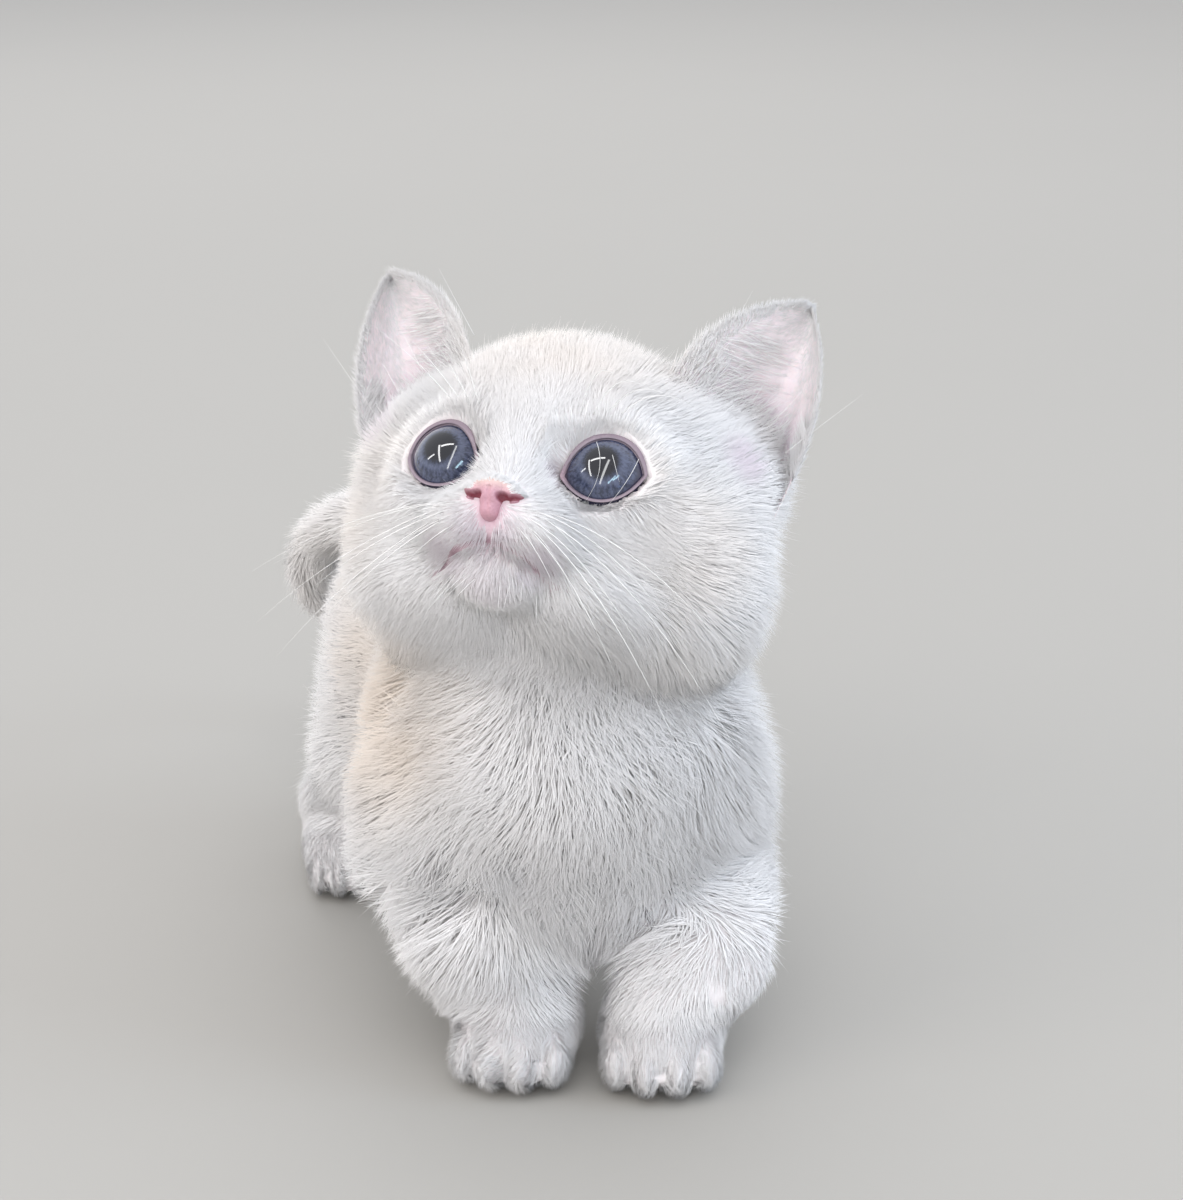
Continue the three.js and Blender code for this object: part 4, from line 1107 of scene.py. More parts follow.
def make_lids(name, sign, finish):
    """A rolled rim carried round the opening: it starts inside the ball, rolls over its edge and runs out
    under the fur. The profile gives the distance out from the edge and the distance from the eye's centre."""
    t = np.linspace(0, 1, 28)
    out = np.interp(t, LID_PROFILE["along"], LID_PROFILE["out"])
    rise = np.interp(t, LID_PROFILE["along"], LID_PROFILE["rise"])
    outline = opening_outline(160)
    around = np.arctan2(outline[:, 1], outline[:, 0])
    edge = opening_angle(around)
    upper = ramp(outline[:, 1], 0.0, 5.0)
    off = edge[None, :] + out[:, None] * mix(0.7, 2.0, upper)[None, :] / EYE["radius"]
    direction = eye_direction(sign, off, np.broadcast_to(around, off.shape)).reshape(-1, 3)
    surface = head_reach(eye_centre(sign), direction, -0.4).reshape(off.shape)
    surface = np.minimum(surface, valley(off, edge[None, :]))
    sunk = 2.8 * ramp(t, 0.46, 0.85)[:, None]
    outer = ramp(t, 0.38, 0.56)[:, None]
    radius = mix(rise[:, None] + 0.12 * upper, surface - sunk, outer)
    points = eye_centre(sign) + radius.reshape(-1, 1) * direction
    quads = grid_faces(len(t), len(around), closed=True)
    shell = np.vstack([points, eye_centre(sign) + (direction * (radius.reshape(-1, 1) - 0.5))])
    inner = quads[:, ::-1] + len(points)
    count = len(around)
    j, k = np.arange(count), (np.arange(count) + 1) % count
    rows = []
    for start, turned in ((0, True), ((len(t) - 1) * count, False)):
        band = np.stack([start + j, start + k, start + k + len(points), start + j + len(points)], 1)
        rows.append(band if turned else band[:, ::-1])
    faces = np.vstack([quads[:, ::-1], inner[:, ::-1], *rows])
    if sign < 0:
        faces = faces[:, ::-1]
    mesh = make_mesh("lids_" + name, from_head(shell), faces)
    bm = bmesh.new()
    bm.from_mesh(mesh)
    bmesh.ops.recalc_face_normals(bm, faces=bm.faces)
    bm.to_mesh(mesh)
    bm.free()
    off_rim = np.tile(np.repeat(t, count), 2)
    inner_corner = bell(np.hypot(outline[:, 0] + EYE_OPENING[0] / 2, outline[:, 1] + 1.7), 1.5)
    add_values(mesh, off_rim=off_rim, corner=np.tile(np.tile(inner_corner, len(t)), 2) * (off_rim < 0.6))
    place_piece("eyelids_" + name, mesh, finish, "skin")


EYE_FINISH = make_eye_material()
LID_FINISH = make_lid_material()
for side_name, side in SIDES:
    make_eye(side_name, side, EYE_FINISH)
    make_lids(side_name, side, LID_FINISH)


# The nose leather

def nose_mass(h):
    """A bar across the top, two wings, a tip and a narrow foot."""
    w = NOSE["width"] / 2
    m = folded(h)
    y, z = NOSE["y"], NOSE["z"]
    bar = ellipsoid(h, ((0, y + 3.0, z + 1.2), (w * 0.74, 2.5, 1.7)))
    wing = ellipsoid(m, ((w * 0.64, y + 3.5, z + 0.1), (w * 0.38, 2.4, 1.5)))
    tip = ellipsoid(h, ((0, y + 2.4, z), (2.3, 2.4, 2.9)))
    foot = ellipsoid(h, ((0, y + 3.2, z - 3), (1.7, 2.2, 1.7)))
    return join_all(1, bar, wing, tip, foot)


def nostril_depth(h):
    """How strongly each place lies in a nostril: round beside the tip, with a slit out to the wing."""
    w = NOSE["width"] / 2
    m = folded(h)
    hole = ellipsoid(m, ((w * 0.45, NOSE["y"] + 1.2, NOSE["z"] - 0.9), (0.9, 3.0, 0.62)))
    slit_z = NOSE["z"] - 0.85 + 0.25 * np.maximum(m[:, 0] - w * 0.6, 0)
    slit = np.hypot(np.maximum(np.abs(m[:, 0] - w * 0.82) - 1.0, 0), (m[:, 2] - slit_z) * 1.0) - 0.2
    return np.clip(1 - np.minimum(hole, slit) / 0.45, 0, 1)


def make_nose():
    """Rays fan out from the middle of the nose to its surface. The nostrils push the surface back in."""
    off = np.pi * np.linspace(0, 1, 74)[1:-1, None]
    around = np.linspace(0, 2 * np.pi, 120, endpoint=False)[None, :]
    off, around = np.broadcast_arrays(off, around)
    direction = np.stack([np.sin(off) * np.cos(around), -np.cos(off), np.sin(off) * np.sin(around)], -1)
    rays = direction.reshape(-1, 3)
    middle = np.array((0, NOSE["y"] + 3.4, NOSE["z"] - 0.6))
    near, far = np.zeros(len(rays)), np.full(len(rays), 9.0)
    for _ in range(18):
        half = (near + far) / 2
        inside = nose_mass(middle + rays * half[:, None]) < 0
        near, far = np.where(inside, half, near), np.where(inside, far, half)
    points = middle + rays * near[:, None]
    hole = nostril_depth(points) * (points[:, 1] < NOSE["y"] + 4.6)
    points = points + hole[:, None] * ramp(hole, 0, 1)[:, None] * np.array((0, 1.2, 0.12))
    in_front = (points[:, 2] < NOSE["z"] + 0.5) * (points[:, 1] < NOSE["y"] + 4)
    groove = bell(points[:, 0], 0.45) * in_front
    points[:, 1] += 0.32 * groove
    rings = points.reshape(*off.shape, 3)
    closed, quads, ends = capped(rings)
    quads, ends = facing_out(closed, quads, ends)
    mesh = make_mesh("nose", from_head(closed), quads, ends)
    hole = np.concatenate([hole, hole[:1] * 0, hole[-1:] * 0])
    # The hole value also darkens the nostrils in the material, partly as painted shade
    add_values(mesh, hole=hole ** 1.5, top=ramp(closed[:, 2], NOSE["z"] - 0.6, NOSE["z"] + 2.6))
    place_piece("nose_leather", mesh, make_nose_material(), "nose_leather", "nose")
    return closed, np.vstack([quads[:, :3], quads[:, (0, 2, 3)]])


nose_points, nose_triangles = make_nose()


# The skin: one closed surface under the coat, from the solids' own copies

FLESH = [n for n in sorted(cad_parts) if not n.startswith(("ear", "eye", "nose"))]


def welded(node):
    """A solid's points in the body's frame and its triangles, with doubled corners made one."""
    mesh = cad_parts[node].data
    mesh.calc_loop_triangles()
    points = np.empty(len(mesh.vertices) * 3)
    mesh.vertices.foreach_get("co", points)
    corners = np.empty(len(mesh.loop_triangles) * 3, np.int32)
    mesh.loop_triangles.foreach_get("vertices", corners)
    points = points.reshape(-1, 3) / MM - SHIFT
    _, first, same = np.unique(np.round(points, 3), axis=0, return_index=True, return_inverse=True)
    faces = same.ravel()[corners].reshape(-1, 3)
    lost = (faces[:, 0] == faces[:, 1]) | (faces[:, 1] == faces[:, 2]) | (faces[:, 0] == faces[:, 2])
    return points[first], faces[~lost]


def swollen(points, faces, by):
    """Each point moved out along the mean of its faces' normals."""
    a, b, c = (points[faces[:, i]] for i in range(3))
    face_normals = np.cross(b - a, c - a)
    normals = np.zeros_like(points)
    for i in range(3):
        np.add.at(normals, faces[:, i], face_normals)
    return points + by * unit(normals)


def apart(points, node):
    """The forelegs' copies drawn back from the plane between them, so that they don't fuse."""
    if not node.startswith("fore"):
        return points
    side = 1 if node.endswith("left") else -1
    near = np.maximum(2.0 - side * out_of_stance(points)[:, 0], 0) * (points[:, 2] < 26)
    angle = np.radians(STANCE["turn"])
    return points + side * near[:, None] * np.array((np.cos(angle), np.sin(angle), 0))


def without_whiskers(points):
    """Draws whatever stands out of the coat's outer surface back to it."""
    for _ in range(12):
        value, rate = slope(kitten_mass, points)
        over = np.clip(value - 0.6, 0, 6)[:, None]
        points = points - over * rate / np.maximum((rate * rate).sum(1), 0.5)[:, None]
    return points


def fused(nodes, voxel):
    """The solids' copies, swollen until they meet, fused into one closed net of even squares."""
    bodies = []
    for node in nodes:
        points, faces = welded(node)
        points = without_whiskers(swollen(points, faces, 0.35))
        bodies.append((apart(points, node), faces))
    points, faces = merged(bodies)
    mesh = make_mesh("fused", points, *faces)
    piece = bpy.data.objects.new("fused", mesh)
    bpy.context.scene.collection.objects.link(piece)
    net = piece.modifiers.new("net", "REMESH")
    net.mode = "VOXEL"
    net.voxel_size = voxel * MM
    made = bpy.data.meshes.new_from_object(piece.evaluated_get(bpy.context.evaluated_depsgraph_get()))
    bpy.data.objects.remove(piece)
    return made


def refine(mesh, wanted):
    """Splits the faces whose points are all wanted into four, and any face of many corners into triangles."""
    bm = bmesh.new()
    bm.from_mesh(mesh)
    co = np.array([v.co for v in bm.verts]) / MM - SHIFT
    keep = wanted(co)
    edges = [e for e in bm.edges if keep[e.verts[0].index] and keep[e.verts[1].index]]
    bmesh.ops.subdivide_edges(bm, edges=edges, cuts=1, use_grid_fill=True)
    bmesh.ops.triangulate(bm, faces=[f for f in bm.faces if len(f.verts) > 4])
    bm.to_mesh(mesh)
    bm.free()


def on_face(p):
    """The part of the face that needs the finest net: lids, nose and mouth."""
    h = to_head(p)
    muzzle = (np.linalg.norm(h - (0, -30, -11), axis=1) < 19) & (h[:, 1] < -16)
    return muzzle | ((eye_distance(h) < 15) & (h[:, 1] < -12))


def mouth_distance(h):
    """The distance, seen from the front, to the line below the nose and the two arcs of the mouth."""
    x, z = np.abs(h[:, 0]), h[:, 2]
    corner_x, corner_z = MOUTH["corner"]
    share = np.clip(x / corner_x, 0, 1)
    drop = mix(MOUTH["fork"], corner_z, share ** 1.15)
    arc = np.hypot(np.maximum(x - corner_x, 0), (z - drop) * 0.9)
    philtrum = np.hypot(x, np.maximum(z - MOUTH["top"], 0) + np.maximum(MOUTH["fork"] - z, 0))
    return np.where(h[:, 1] < -14, np.minimum(arc, philtrum), 99.0)


def settle(p, steps, level=0.0):
    """Walks each point down the slope until it is the coat's depth below the coat's outer surface."""
    for _ in range(steps):
        value, rate = slope(kitten_mass, p)
        error = value + coat_depth(p) - level
        p = p - np.clip(error, -1.5, 1.5)[:, None] * rate / np.maximum((rate * rate).sum(1), 0.3)[:, None]
    return p


def skin_shape(p, steps):
    """The settled points, with each eye's socket sunk along its aim, the ears' hollows dented, the mouth
    pressed in and the soles flat."""
    p = settle(p, steps)
    h = to_head(p)
    for _, sign in SIDES:
        front, off_line, edge = beside_eye(h, sign)
        near = (1 - ramp(np.hypot(front, off_line), 13, 18)) * (front > 0)
        shelf = edge + SOCKET["shelf_ends"]
        highest = np.sqrt(np.maximum(SOCKET["under_lid"] ** 2 - np.minimum(off_line, shelf) ** 2, 0.01))
        highest = highest + LID_VALLEY["incline"] * np.maximum(off_line - shelf, 0)
        lowered = mix(front, np.minimum(front, highest), near)
        in_eye = (off_line < edge + SOCKET["floor_ends"]) & (near > 0)
        floor = np.sqrt(np.maximum(SOCKET["floor"] ** 2 - off_line ** 2, 0.01))
        lowered = np.where(in_eye, floor, lowered)
        h = h + (lowered - front)[:, None] * eye_axes(sign)[0]
    hollow = EAR_HOLLOW_DEPTH * bell(np.linalg.norm(folded(h) - EAR_HOLLOW, axis=1), 5.5)[:, None]
    h = h - hollow * unit(h - (0, 4, 4))
    pressed = 0.6 * bell(mouth_distance(h), 0.7)
    h = h + pressed[:, None] * np.array((0, 0.9, 0.1))
    p = from_head(h)
    p[:, 2] = np.maximum(p[:, 2], 0.25)
    return p


def make_skin(finish):
    """The fused net, settled under the coat, with finer faces on the face."""
    mesh = fused(FLESH, 1.25)
    refine(mesh, on_face)
    points = np.empty(len(mesh.vertices) * 3)
    mesh.vertices.foreach_get("co", points)
    points = points.reshape(-1, 3) / MM - SHIFT
    points = skin_shape(points, 9)
    mesh.vertices.foreach_set("co", ((points + SHIFT) * MM).ravel())
    mesh.polygons.foreach_set("use_smooth", np.ones(len(mesh.polygons), bool))
    mesh.update()
    h = to_head(points)
    away = mouth_distance(h)
    lips = bell(away, 2.2)
    nose = np.exp(-((np.linalg.norm(h - (0, NOSE["y"] + 3, NOSE["z"] - 1), axis=1) / 5.5) ** 4))
    add_values(mesh, bare=np.clip(0.75 * lips + 0.5 * nose, 0, 1), line=0.85 * bell(away, 0.42))
    mesh.materials.clear()
    mesh.name = "kitten_skin"
    place_piece("kitten_skin", mesh, finish, "white_coat", *FLESH)
    return mesh, points


SKIN_FINISH = make_skin_material()
skin_mesh, skin_points = make_skin(SKIN_FINISH)


# The ears

def ear_sheet(u, v, behind):
    """Between the two edge curves, bowed backwards like a cup. Below the root the edges run on straight."""
    t = np.clip(v, 0, 1)
    shape = u.shape
    edges = []
    for curve in ((EAR["medial"], EAR_INNER_BEND, EAR["tip"]), (EAR["lateral"], EAR_OUTER_BEND, EAR["tip"])):
        tangent = unit(np.subtract(curve[1], curve[0]).astype(float))
        edge = bezier(curve, t.ravel()).reshape(*shape, 3) + np.minimum(v, 0)[..., None] * 26 * tangent
        edges.append(edge)
    point = mix(edges[0], edges[1], u[..., None])
    bow = np.sin(np.pi * u) * EAR["cup"] * (1 - t) ** 0.7
    wall = EAR["wall"] * (0.45 + 0.55 * np.sin(np.pi * u)) * (1 - 0.45 * t)
    back = bow + wall * mix(0.32, 0.68, behind)
    return point + back[..., None] * np.array((0.12, 1, -0.1))


def ear_folds(u, v):
    """Ridges that run up from the root, and a pocket at the lower outer edge, as heights in millimetres."""
    fade = ramp(v, -0.1, 0.12) * (1 - ramp(v, 0.35, 0.75))
    ridges = 0.55 * bell(u - 0.3 - 0.12 * v, 0.05) + 0.45 * bell(u - 0.5, 0.045)
    pocket = -1.2 * bell(u - 0.86, 0.05) * bell(v - 0.16, 0.09)
    flap = 0.9 * bell(u - 0.76, 0.05) * bell(v - 0.18, 0.12)
    return fade * ridges + pocket + flap


EAR_GRID = (64, 48)


def ear_rings():
    """Rings round the ear, across its front and back again behind, from the root to just short of the tip."""
    rows, columns = EAR_GRID
    v = np.linspace(0, 1, rows)[:, None] ** 0.9 * 1.29 - 0.34
    u = (1 - np.cos(np.linspace(0, np.pi, columns)))[None, :] / 2
    v, u = np.broadcast_arrays(v, u)
    front = ear_sheet(u, v, 0.0)
    front = front - ear_folds(u, v)[..., None] * np.array((0.1, 1, -0.1))
    back = ear_sheet(u[:, ::-1], v, 1.0)
    return np.concatenate([front, back[:, 1:-1]], axis=1), u, v


def make_ear(name, sign, finish):
    rings, u, v = ear_rings()
    rings = rings * (sign, 1, 1)
    points, quads, ends = capped(rings)
    quads, ends = facing_out(points, quads, ends)
    mesh = make_mesh("ear_" + name, from_head(points), quads, ends)
    columns = EAR_GRID[1]
    # The deep value: where the cup is painted darker purple, partly as painted shade
    deep = bell(u - 0.5, 0.3) * bell(v + 0.04, 0.22)
    outside = np.zeros_like(rings[..., 0])
    outside[:, columns:] = 1
    hollow = np.zeros_like(outside)
    hollow[:, :columns] = deep
    add_values(
        mesh,
        deep=np.concatenate([hollow.ravel(), [0, 0]]),
        outside=np.concatenate([outside.ravel(), [1, 1]]),
    )
    place_piece("ear_%s_cup" % name, mesh, finish, "ear", "ear_" + name)


EAR_FINISH = make_ear_material()
for side_name, side in SIDES:
    make_ear(side_name, side, EAR_FINISH)


# The coat

def turned(lies, normals, angle):
    """Each direction turned about its normal."""
    return np.cos(angle)[:, None] * lies + np.sin(angle)[:, None] * np.cross(normals, lies)


def tuft_bodies(tufts, rings):
    """Each tuft is a three-sided spike: its middle line starts a little under the skin, leaves it at the lift
    angle, sags by the droop and is pulled aside by the pull times its share of the way to the power 1.5. Its
    width falls from the root to nothing at the tip. Gives points, triangles and shares of the way along."""
    roots, normals, lies = tufts["root"], tufts["normal"], tufts["lie"]
    count = len(roots)
    across = np.cross(normals, lies)
    sunk = np.minimum(0.06 * tufts["length"], 0.5)
    points, along = [], []
    for t in np.linspace(0, 1, rings + 1):
        forward = tufts["length"] * np.cos(tufts["lift"]) * t
        upward = tufts["length"] * (np.sin(tufts["lift"]) * t - tufts["droop"] * t * t)
        middle = roots + forward[:, None] * lies + (upward - sunk * (1 - t))[:, None] * normals
        middle = middle + tufts["pull"] * t ** 1.5
        width = tufts["width"][:, None] * (1 - 0.75 * t ** 1.4)
        if t < 1:
            ring = (middle - across * width / 2, middle + across * width / 2, middle + normals * width * 0.45)
            points.append(np.stack(ring, 1))
        else:
            points.append(middle[:, None])
        along.append(np.full((count, points[-1].shape[1]), t))
    body = np.concatenate(points, 1)
    step = body.shape[1]
    faces = [(0, 2, 1)]
    for i in range(3, 3 * rings, 3):
        for a, b in ((0, 1), (1, 2), (2, 0)):
            faces += [(i - 3 + a, i - 3 + b, i + b), (i - 3 + a, i + b, i + a)]
    last = 3 * rings - 3
    faces += [(last + a, last + b, step - 1) for a, b in ((0, 1), (1, 2), (2, 0))]
    triangles = (np.arange(count)[:, None, None] * step + np.array(faces)[None]).reshape(-1, 3)
    return body, triangles, np.concatenate(along, 1)


def bake_patches(uv, rings):
    """A patch of the map for each tuft, 0.003 across, at its root's place: rings of three corners, and a tip
    in the middle."""
    turn = 2 * np.pi * np.arange(3 * rings) / 3 + np.arange(3 * rings) // 3
    size = 0.0015 * (1 - np.arange(3 * rings) // 3 / (rings + 1))
    corners = np.append(np.stack([size * np.cos(turn), size * np.sin(turn)], 1), [[0, 0]], axis=0)
    return (np.clip(uv, 0.002, 0.998)[:, None] + corners[None]).reshape(-1, 2)


def make_coat(name, slot, tufts, uv, rings, soft, seed):
    """A piece of coat from its tufts. Soft blends each tuft's shading normal towards the skin's."""
    body, triangles, along = tuft_bodies(tufts, rings)
    body[..., 2] = np.maximum(body[..., 2], 0.06 + 0.05 * along)
    count, step = body.shape[:2]
    mesh = make_mesh(name, body.reshape(-1, 3), triangles)
    # Painted shade: short tufts are made up to 16 in 100 darker, standing in for the self-shadowing of the
    # longer coat; the random factor is each tuft's own tone
    shade = mix(0.84, 1.0, ramp(tufts["length"], 1.2, 5.0))
    shade = shade * np.random.default_rng(seed).uniform(0.96, 1.05, count)
    add_values(mesh, along=along.ravel(), shade=np.repeat(shade, step))
    add_bake_map(mesh, bake_patches(uv, rings))
    if soft:
        own = np.empty(count * step * 3, np.float32)
        mesh.vertices.foreach_get("normal", own)
        shaded = unit(mix(own.reshape(-1, 3), np.repeat(tufts["normal"], step, axis=0), soft))
        layer = mesh.attributes.new("custom_normal", "FLOAT_VECTOR", "POINT")
        layer.data.foreach_set("vector", shaded.astype(np.float32).ravel())
    place_piece(name, mesh, COAT, slot)


def only(tufts, chosen):
    return {name: values[chosen] for name, values in tufts.items()}


def joined(sets):
    return {name: np.concatenate([tufts[name] for tufts in sets]) for name in sets[0]}


def scattered(points, triangles, density, seed):
    """Places spread evenly over a net, as many to the square millimetre as the density asks, and the triangle
    that each is on."""
    a, b, c = (points[triangles[:, i]] for i in range(3))
    area = np.linalg.norm(np.cross(b - a, c - a), axis=1) / 2
    wanted = area * density((a + b + c) / 3)
    total = int(wanted.sum() * QUICK)
    rng = np.random.default_rng(seed)
    marks = (np.arange(total) + rng.uniform(0, 1, total)) / total * wanted.sum()
    chosen = np.minimum(np.searchsorted(np.cumsum(wanted), marks), len(triangles) - 1)
    s, t = rng.uniform(0, 1, (2, total))
    beyond = s + t > 1
    s, t = np.where(beyond, 1 - s, s), np.where(beyond, 1 - t, t)
    return a[chosen] + s[:, None] * (b - a)[chosen] + t[:, None] * (c - a)[chosen], chosen


def skin_triangles():
    """The skin's triangles, and the mean of the normals at each one's corners."""
    skin_mesh.calc_loop_triangles()
    corners = np.empty(len(skin_mesh.loop_triangles) * 3, np.int32)
    skin_mesh.loop_triangles.foreach_get("vertices", corners)
    normals = np.empty(len(skin_mesh.vertices) * 3)
    skin_mesh.vertices.foreach_get("normal", normals)
    triangles = corners.reshape(-1, 3)
    return triangles, unit(normals.reshape(-1, 3)[triangles].sum(1))


def by_part(p, values):
    """A value for each place, mixed from one for each part by how much the place belongs to it."""
    part = shares(p)
    on_face = 1 - ramp(np.linalg.norm(to_head(p) - (0, -30, -4), axis=1), 20, 46)
    on_body = mix(values["trunk"], values["chest"], part["chest"])
    on_leg = mix(values["leg"], values["paw"], 1 - ramp(p[:, 2], 12, 19))
    on_body = mix(on_body, on_leg, part["leg"])
    on_body = mix(on_body, values["tail"], part["tail"])
    return mix(on_body, mix(values["head"], values["face"], on_face), part["head"])


def bare_places(p):
    """Places that grow no fur: the eyes and lid rims, the nose leather, the lips' line and the flat soles."""
    h = to_head(p)
    bare = (nose_mass(h) < 0.1) | (mouth_distance(h) < 0.32) | (p[:, 2] < 0.7)
    for _, sign in SIDES:
        front, off_line, edge = beside_eye(h, sign)
        bare |= (off_line < edge + SOCKET["fur_starts"]) & (np.abs(front - 8) < 8)
    return bare


def tips(tufts):
    """Where each tuft ends."""
    forward = tufts["length"] * np.cos(tufts["lift"])
    upward = tufts["length"] * (np.sin(tufts["lift"]) - tufts["droop"])
    return tufts["root"] + forward[:, None] * tufts["lie"] + upward[:, None] * tufts["normal"] + tufts["pull"]


def over_eyes(p):
    """Whether each place is in front of an eye's opening."""
    h = to_head(p)
    over = np.zeros(len(p), bool)
    for _, sign in SIDES:
        front, off_line, edge = beside_eye(h, sign)
        over |= (off_line < edge + 0.1) & (np.abs(front - 8) < 8)
    return over


def clear_of_eyes(tufts):
    """Tufts that end over an eye are cut to under half, and left out if they still do."""
    short = np.where(over_eyes(tips(tufts)), 0.4, 1.0)
    tufts["length"] = tufts["length"] * short
    tufts["pull"] = tufts["pull"] * short[:, None]
    return only(tufts, ~over_eyes(tips(tufts)))


def finish_at_surface(tufts, level):
    """Adds to each tuft's pull what brings its tip to its level above the coat's outer surface."""
    end = tips(tufts)
    free = ramp(eye_distance(to_head(tufts["root"])), 12.5, 18)
    for _ in range(2):
        value, rate = slope(kitten_mass, end)
        error = free * np.clip(value - level, -5, 5)
        step = error[:, None] * rate / np.maximum((rate * rate).sum(1), 0.5)[:, None]
        tufts["pull"] = tufts["pull"] - step
        end = end - step


def fluff(p):
    """How far the coat stands out past, or lies flat under, the solids' surface, in a few places."""
    return sum(high * bell(np.linalg.norm(p - place, axis=1), wide) for place, wide, high in FLUFF)


def skin_tufts(density, seed, longer=1.0, thinner=1.0, rise=0.0):
    """Roots scattered over the skin with their normals, lies, lengths, widths and clumps. Longer and rise
    make wisps that stand out of the coat."""
    triangles, triangle_normals = skin_triangles()
    roots, chosen = scattered(skin_points, triangles, density, seed)
    furred = ~bare_places(roots)
    roots, chosen = roots[furred], chosen[furred]
    count = len(roots)
    rng = np.random.default_rng(seed + 1)
    _, rate = slope(kitten_mass, roots)
    normals = unit(rate)
    agreed = ramp((normals * triangle_normals[chosen]).sum(1), 0.2, 0.5)
    near_eye = agreed * (1 - ramp(eye_distance(to_head(roots)), 14, 19))
    normals = unit(mix(normals, triangle_normals[chosen], near_eye[:, None]))
    chest = shares(roots)["chest"]
    clump = lattice_seed(roots, 4.2, 5)
    wide = lattice_seed(roots, 9.0, 6)
    angle = rng.normal(0, 1, count) * by_part(roots, STRAY_ANGLE)
    angle = angle + by_part(roots, SWIRL_ANGLE) * waves(wide, 17, 71)
    lies = turned(lie_of_coat(roots, normals), normals, angle)
    degrees = by_part(roots, LIFT_DEGREES) + rng.normal(0, 4, count) + 5 * waves(clump, 20, 31)
    lift = np.clip(np.radians(degrees) + rise * 0.12, np.radians(8), np.radians(48))
    droop = by_part(roots, DROOP)
    reach = np.maximum(coat_depth(roots), 0.7) * rng.uniform(0.75, 1.1, count)
    longest = by_part(roots, LONGEST) * rng.uniform(0.8, 1.1, count)
    lengths = np.minimum(reach / np.maximum(np.sin(lift) - droop, 0.12), longest)
    lengths = np.maximum(lengths, 1.3) * longer
    widths = np.clip(0.12 + 0.022 * lengths, 0.18, 0.36) * rng.uniform(0.75, 1.25, count) * thinner
    pulls = 0.26 * (clump - roots) + 0.12 * (wide - roots)
    pulls = pulls - (pulls * normals).sum(1, keepdims=True) * normals
    pulls = pulls * (ramp(lengths, 3, 12) * mix(0.75, 1.25, chest))[:, None]
    tufts = {
        "root": roots, "normal": normals, "lie": lies, "length": lengths,
        "width": widths, "lift": lift, "droop": droop, "pull": pulls,
    }
    level = rng.uniform(-1.0, 0.35, count) * ramp(lengths, 1, 8) + rise * rng.uniform(0.3, 1.0, count)
    finish_at_surface(tufts, level + fluff(roots))
    return clear_of_eyes(tufts)


def nose_tufts(seed):
    """Down that runs from the bridge over the top of the nose, and from the pads over its wings."""
    def density(h):
        top = ramp(h[:, 2], NOSE["z"] + 0.9, NOSE["z"] + 2.2)
        wing = ramp(np.abs(h[:, 0]), 2.3, 3.8) * (h[:, 2] > NOSE["z"] - 0.1)
        return 38 * np.maximum(top, wing) * (nostril_depth(h) < 0.02)

    h, _ = scattered(nose_points, nose_triangles, density, seed)
    count = len(h)
    rng = np.random.default_rng(seed + 1)
    normals = unit(slope(nose_mass, h)[1])
    lies = np.stack([0.3 * h[:, 0], np.full(count, 1.0), np.full(count, 0.6)], 1)
    lies = lies + rng.normal(0, 0.2, (count, 3))
    lies = unit(lies - (lies * normals).sum(1, keepdims=True) * normals)
    return {
        "root": from_head(h), "normal": normals @ HEAD_AXES.T, "lie": lies @ HEAD_AXES.T,
        "length": rng.uniform(1.2, 2.3, count), "width": rng.uniform(0.13, 0.2, count),
        "lift": np.radians(rng.uniform(8, 20, count)), "droop": np.full(count, 0.04),
        "pull": np.zeros((count, 3)),
    }


def unwrap_head(h):
    """The skull as a globe: the turn round its upright axis, and the height seen from its middle."""
    d = unit(h - (0, 4, 4))
    turn = np.arctan2(d[:, 0], -d[:, 1]) / (2 * np.pi) + 0.5
    return np.stack([turn, np.arcsin(np.clip(d[:, 2], -1, 1)) / np.pi + 0.5], 1)


def unwrap_body(p, on_tail):
    """The trunk and legs as a tube round a line from chest to rump, and the tail as one round its line."""
    turn = np.arctan2(p[:, 0], 56 - p[:, 2]) / (2 * np.pi) + 0.5
    along = (p[:, 1] + 75) / 180
    nearest = np.argmin(((p[:, None] - TAIL_POINTS[None]) ** 2).sum(2), axis=1)
    d = p - TAIL_POINTS[nearest]
    tail_turn = np.arctan2(d[:, 0], d[:, 2] - 0.6 * d[:, 1]) / (2 * np.pi) + 0.5
    tail_along = (nearest + 0.5) / len(TAIL_POINTS)
    return np.where(on_tail[:, None], np.stack([tail_along, tail_turn], 1), np.stack([along, turn], 1))


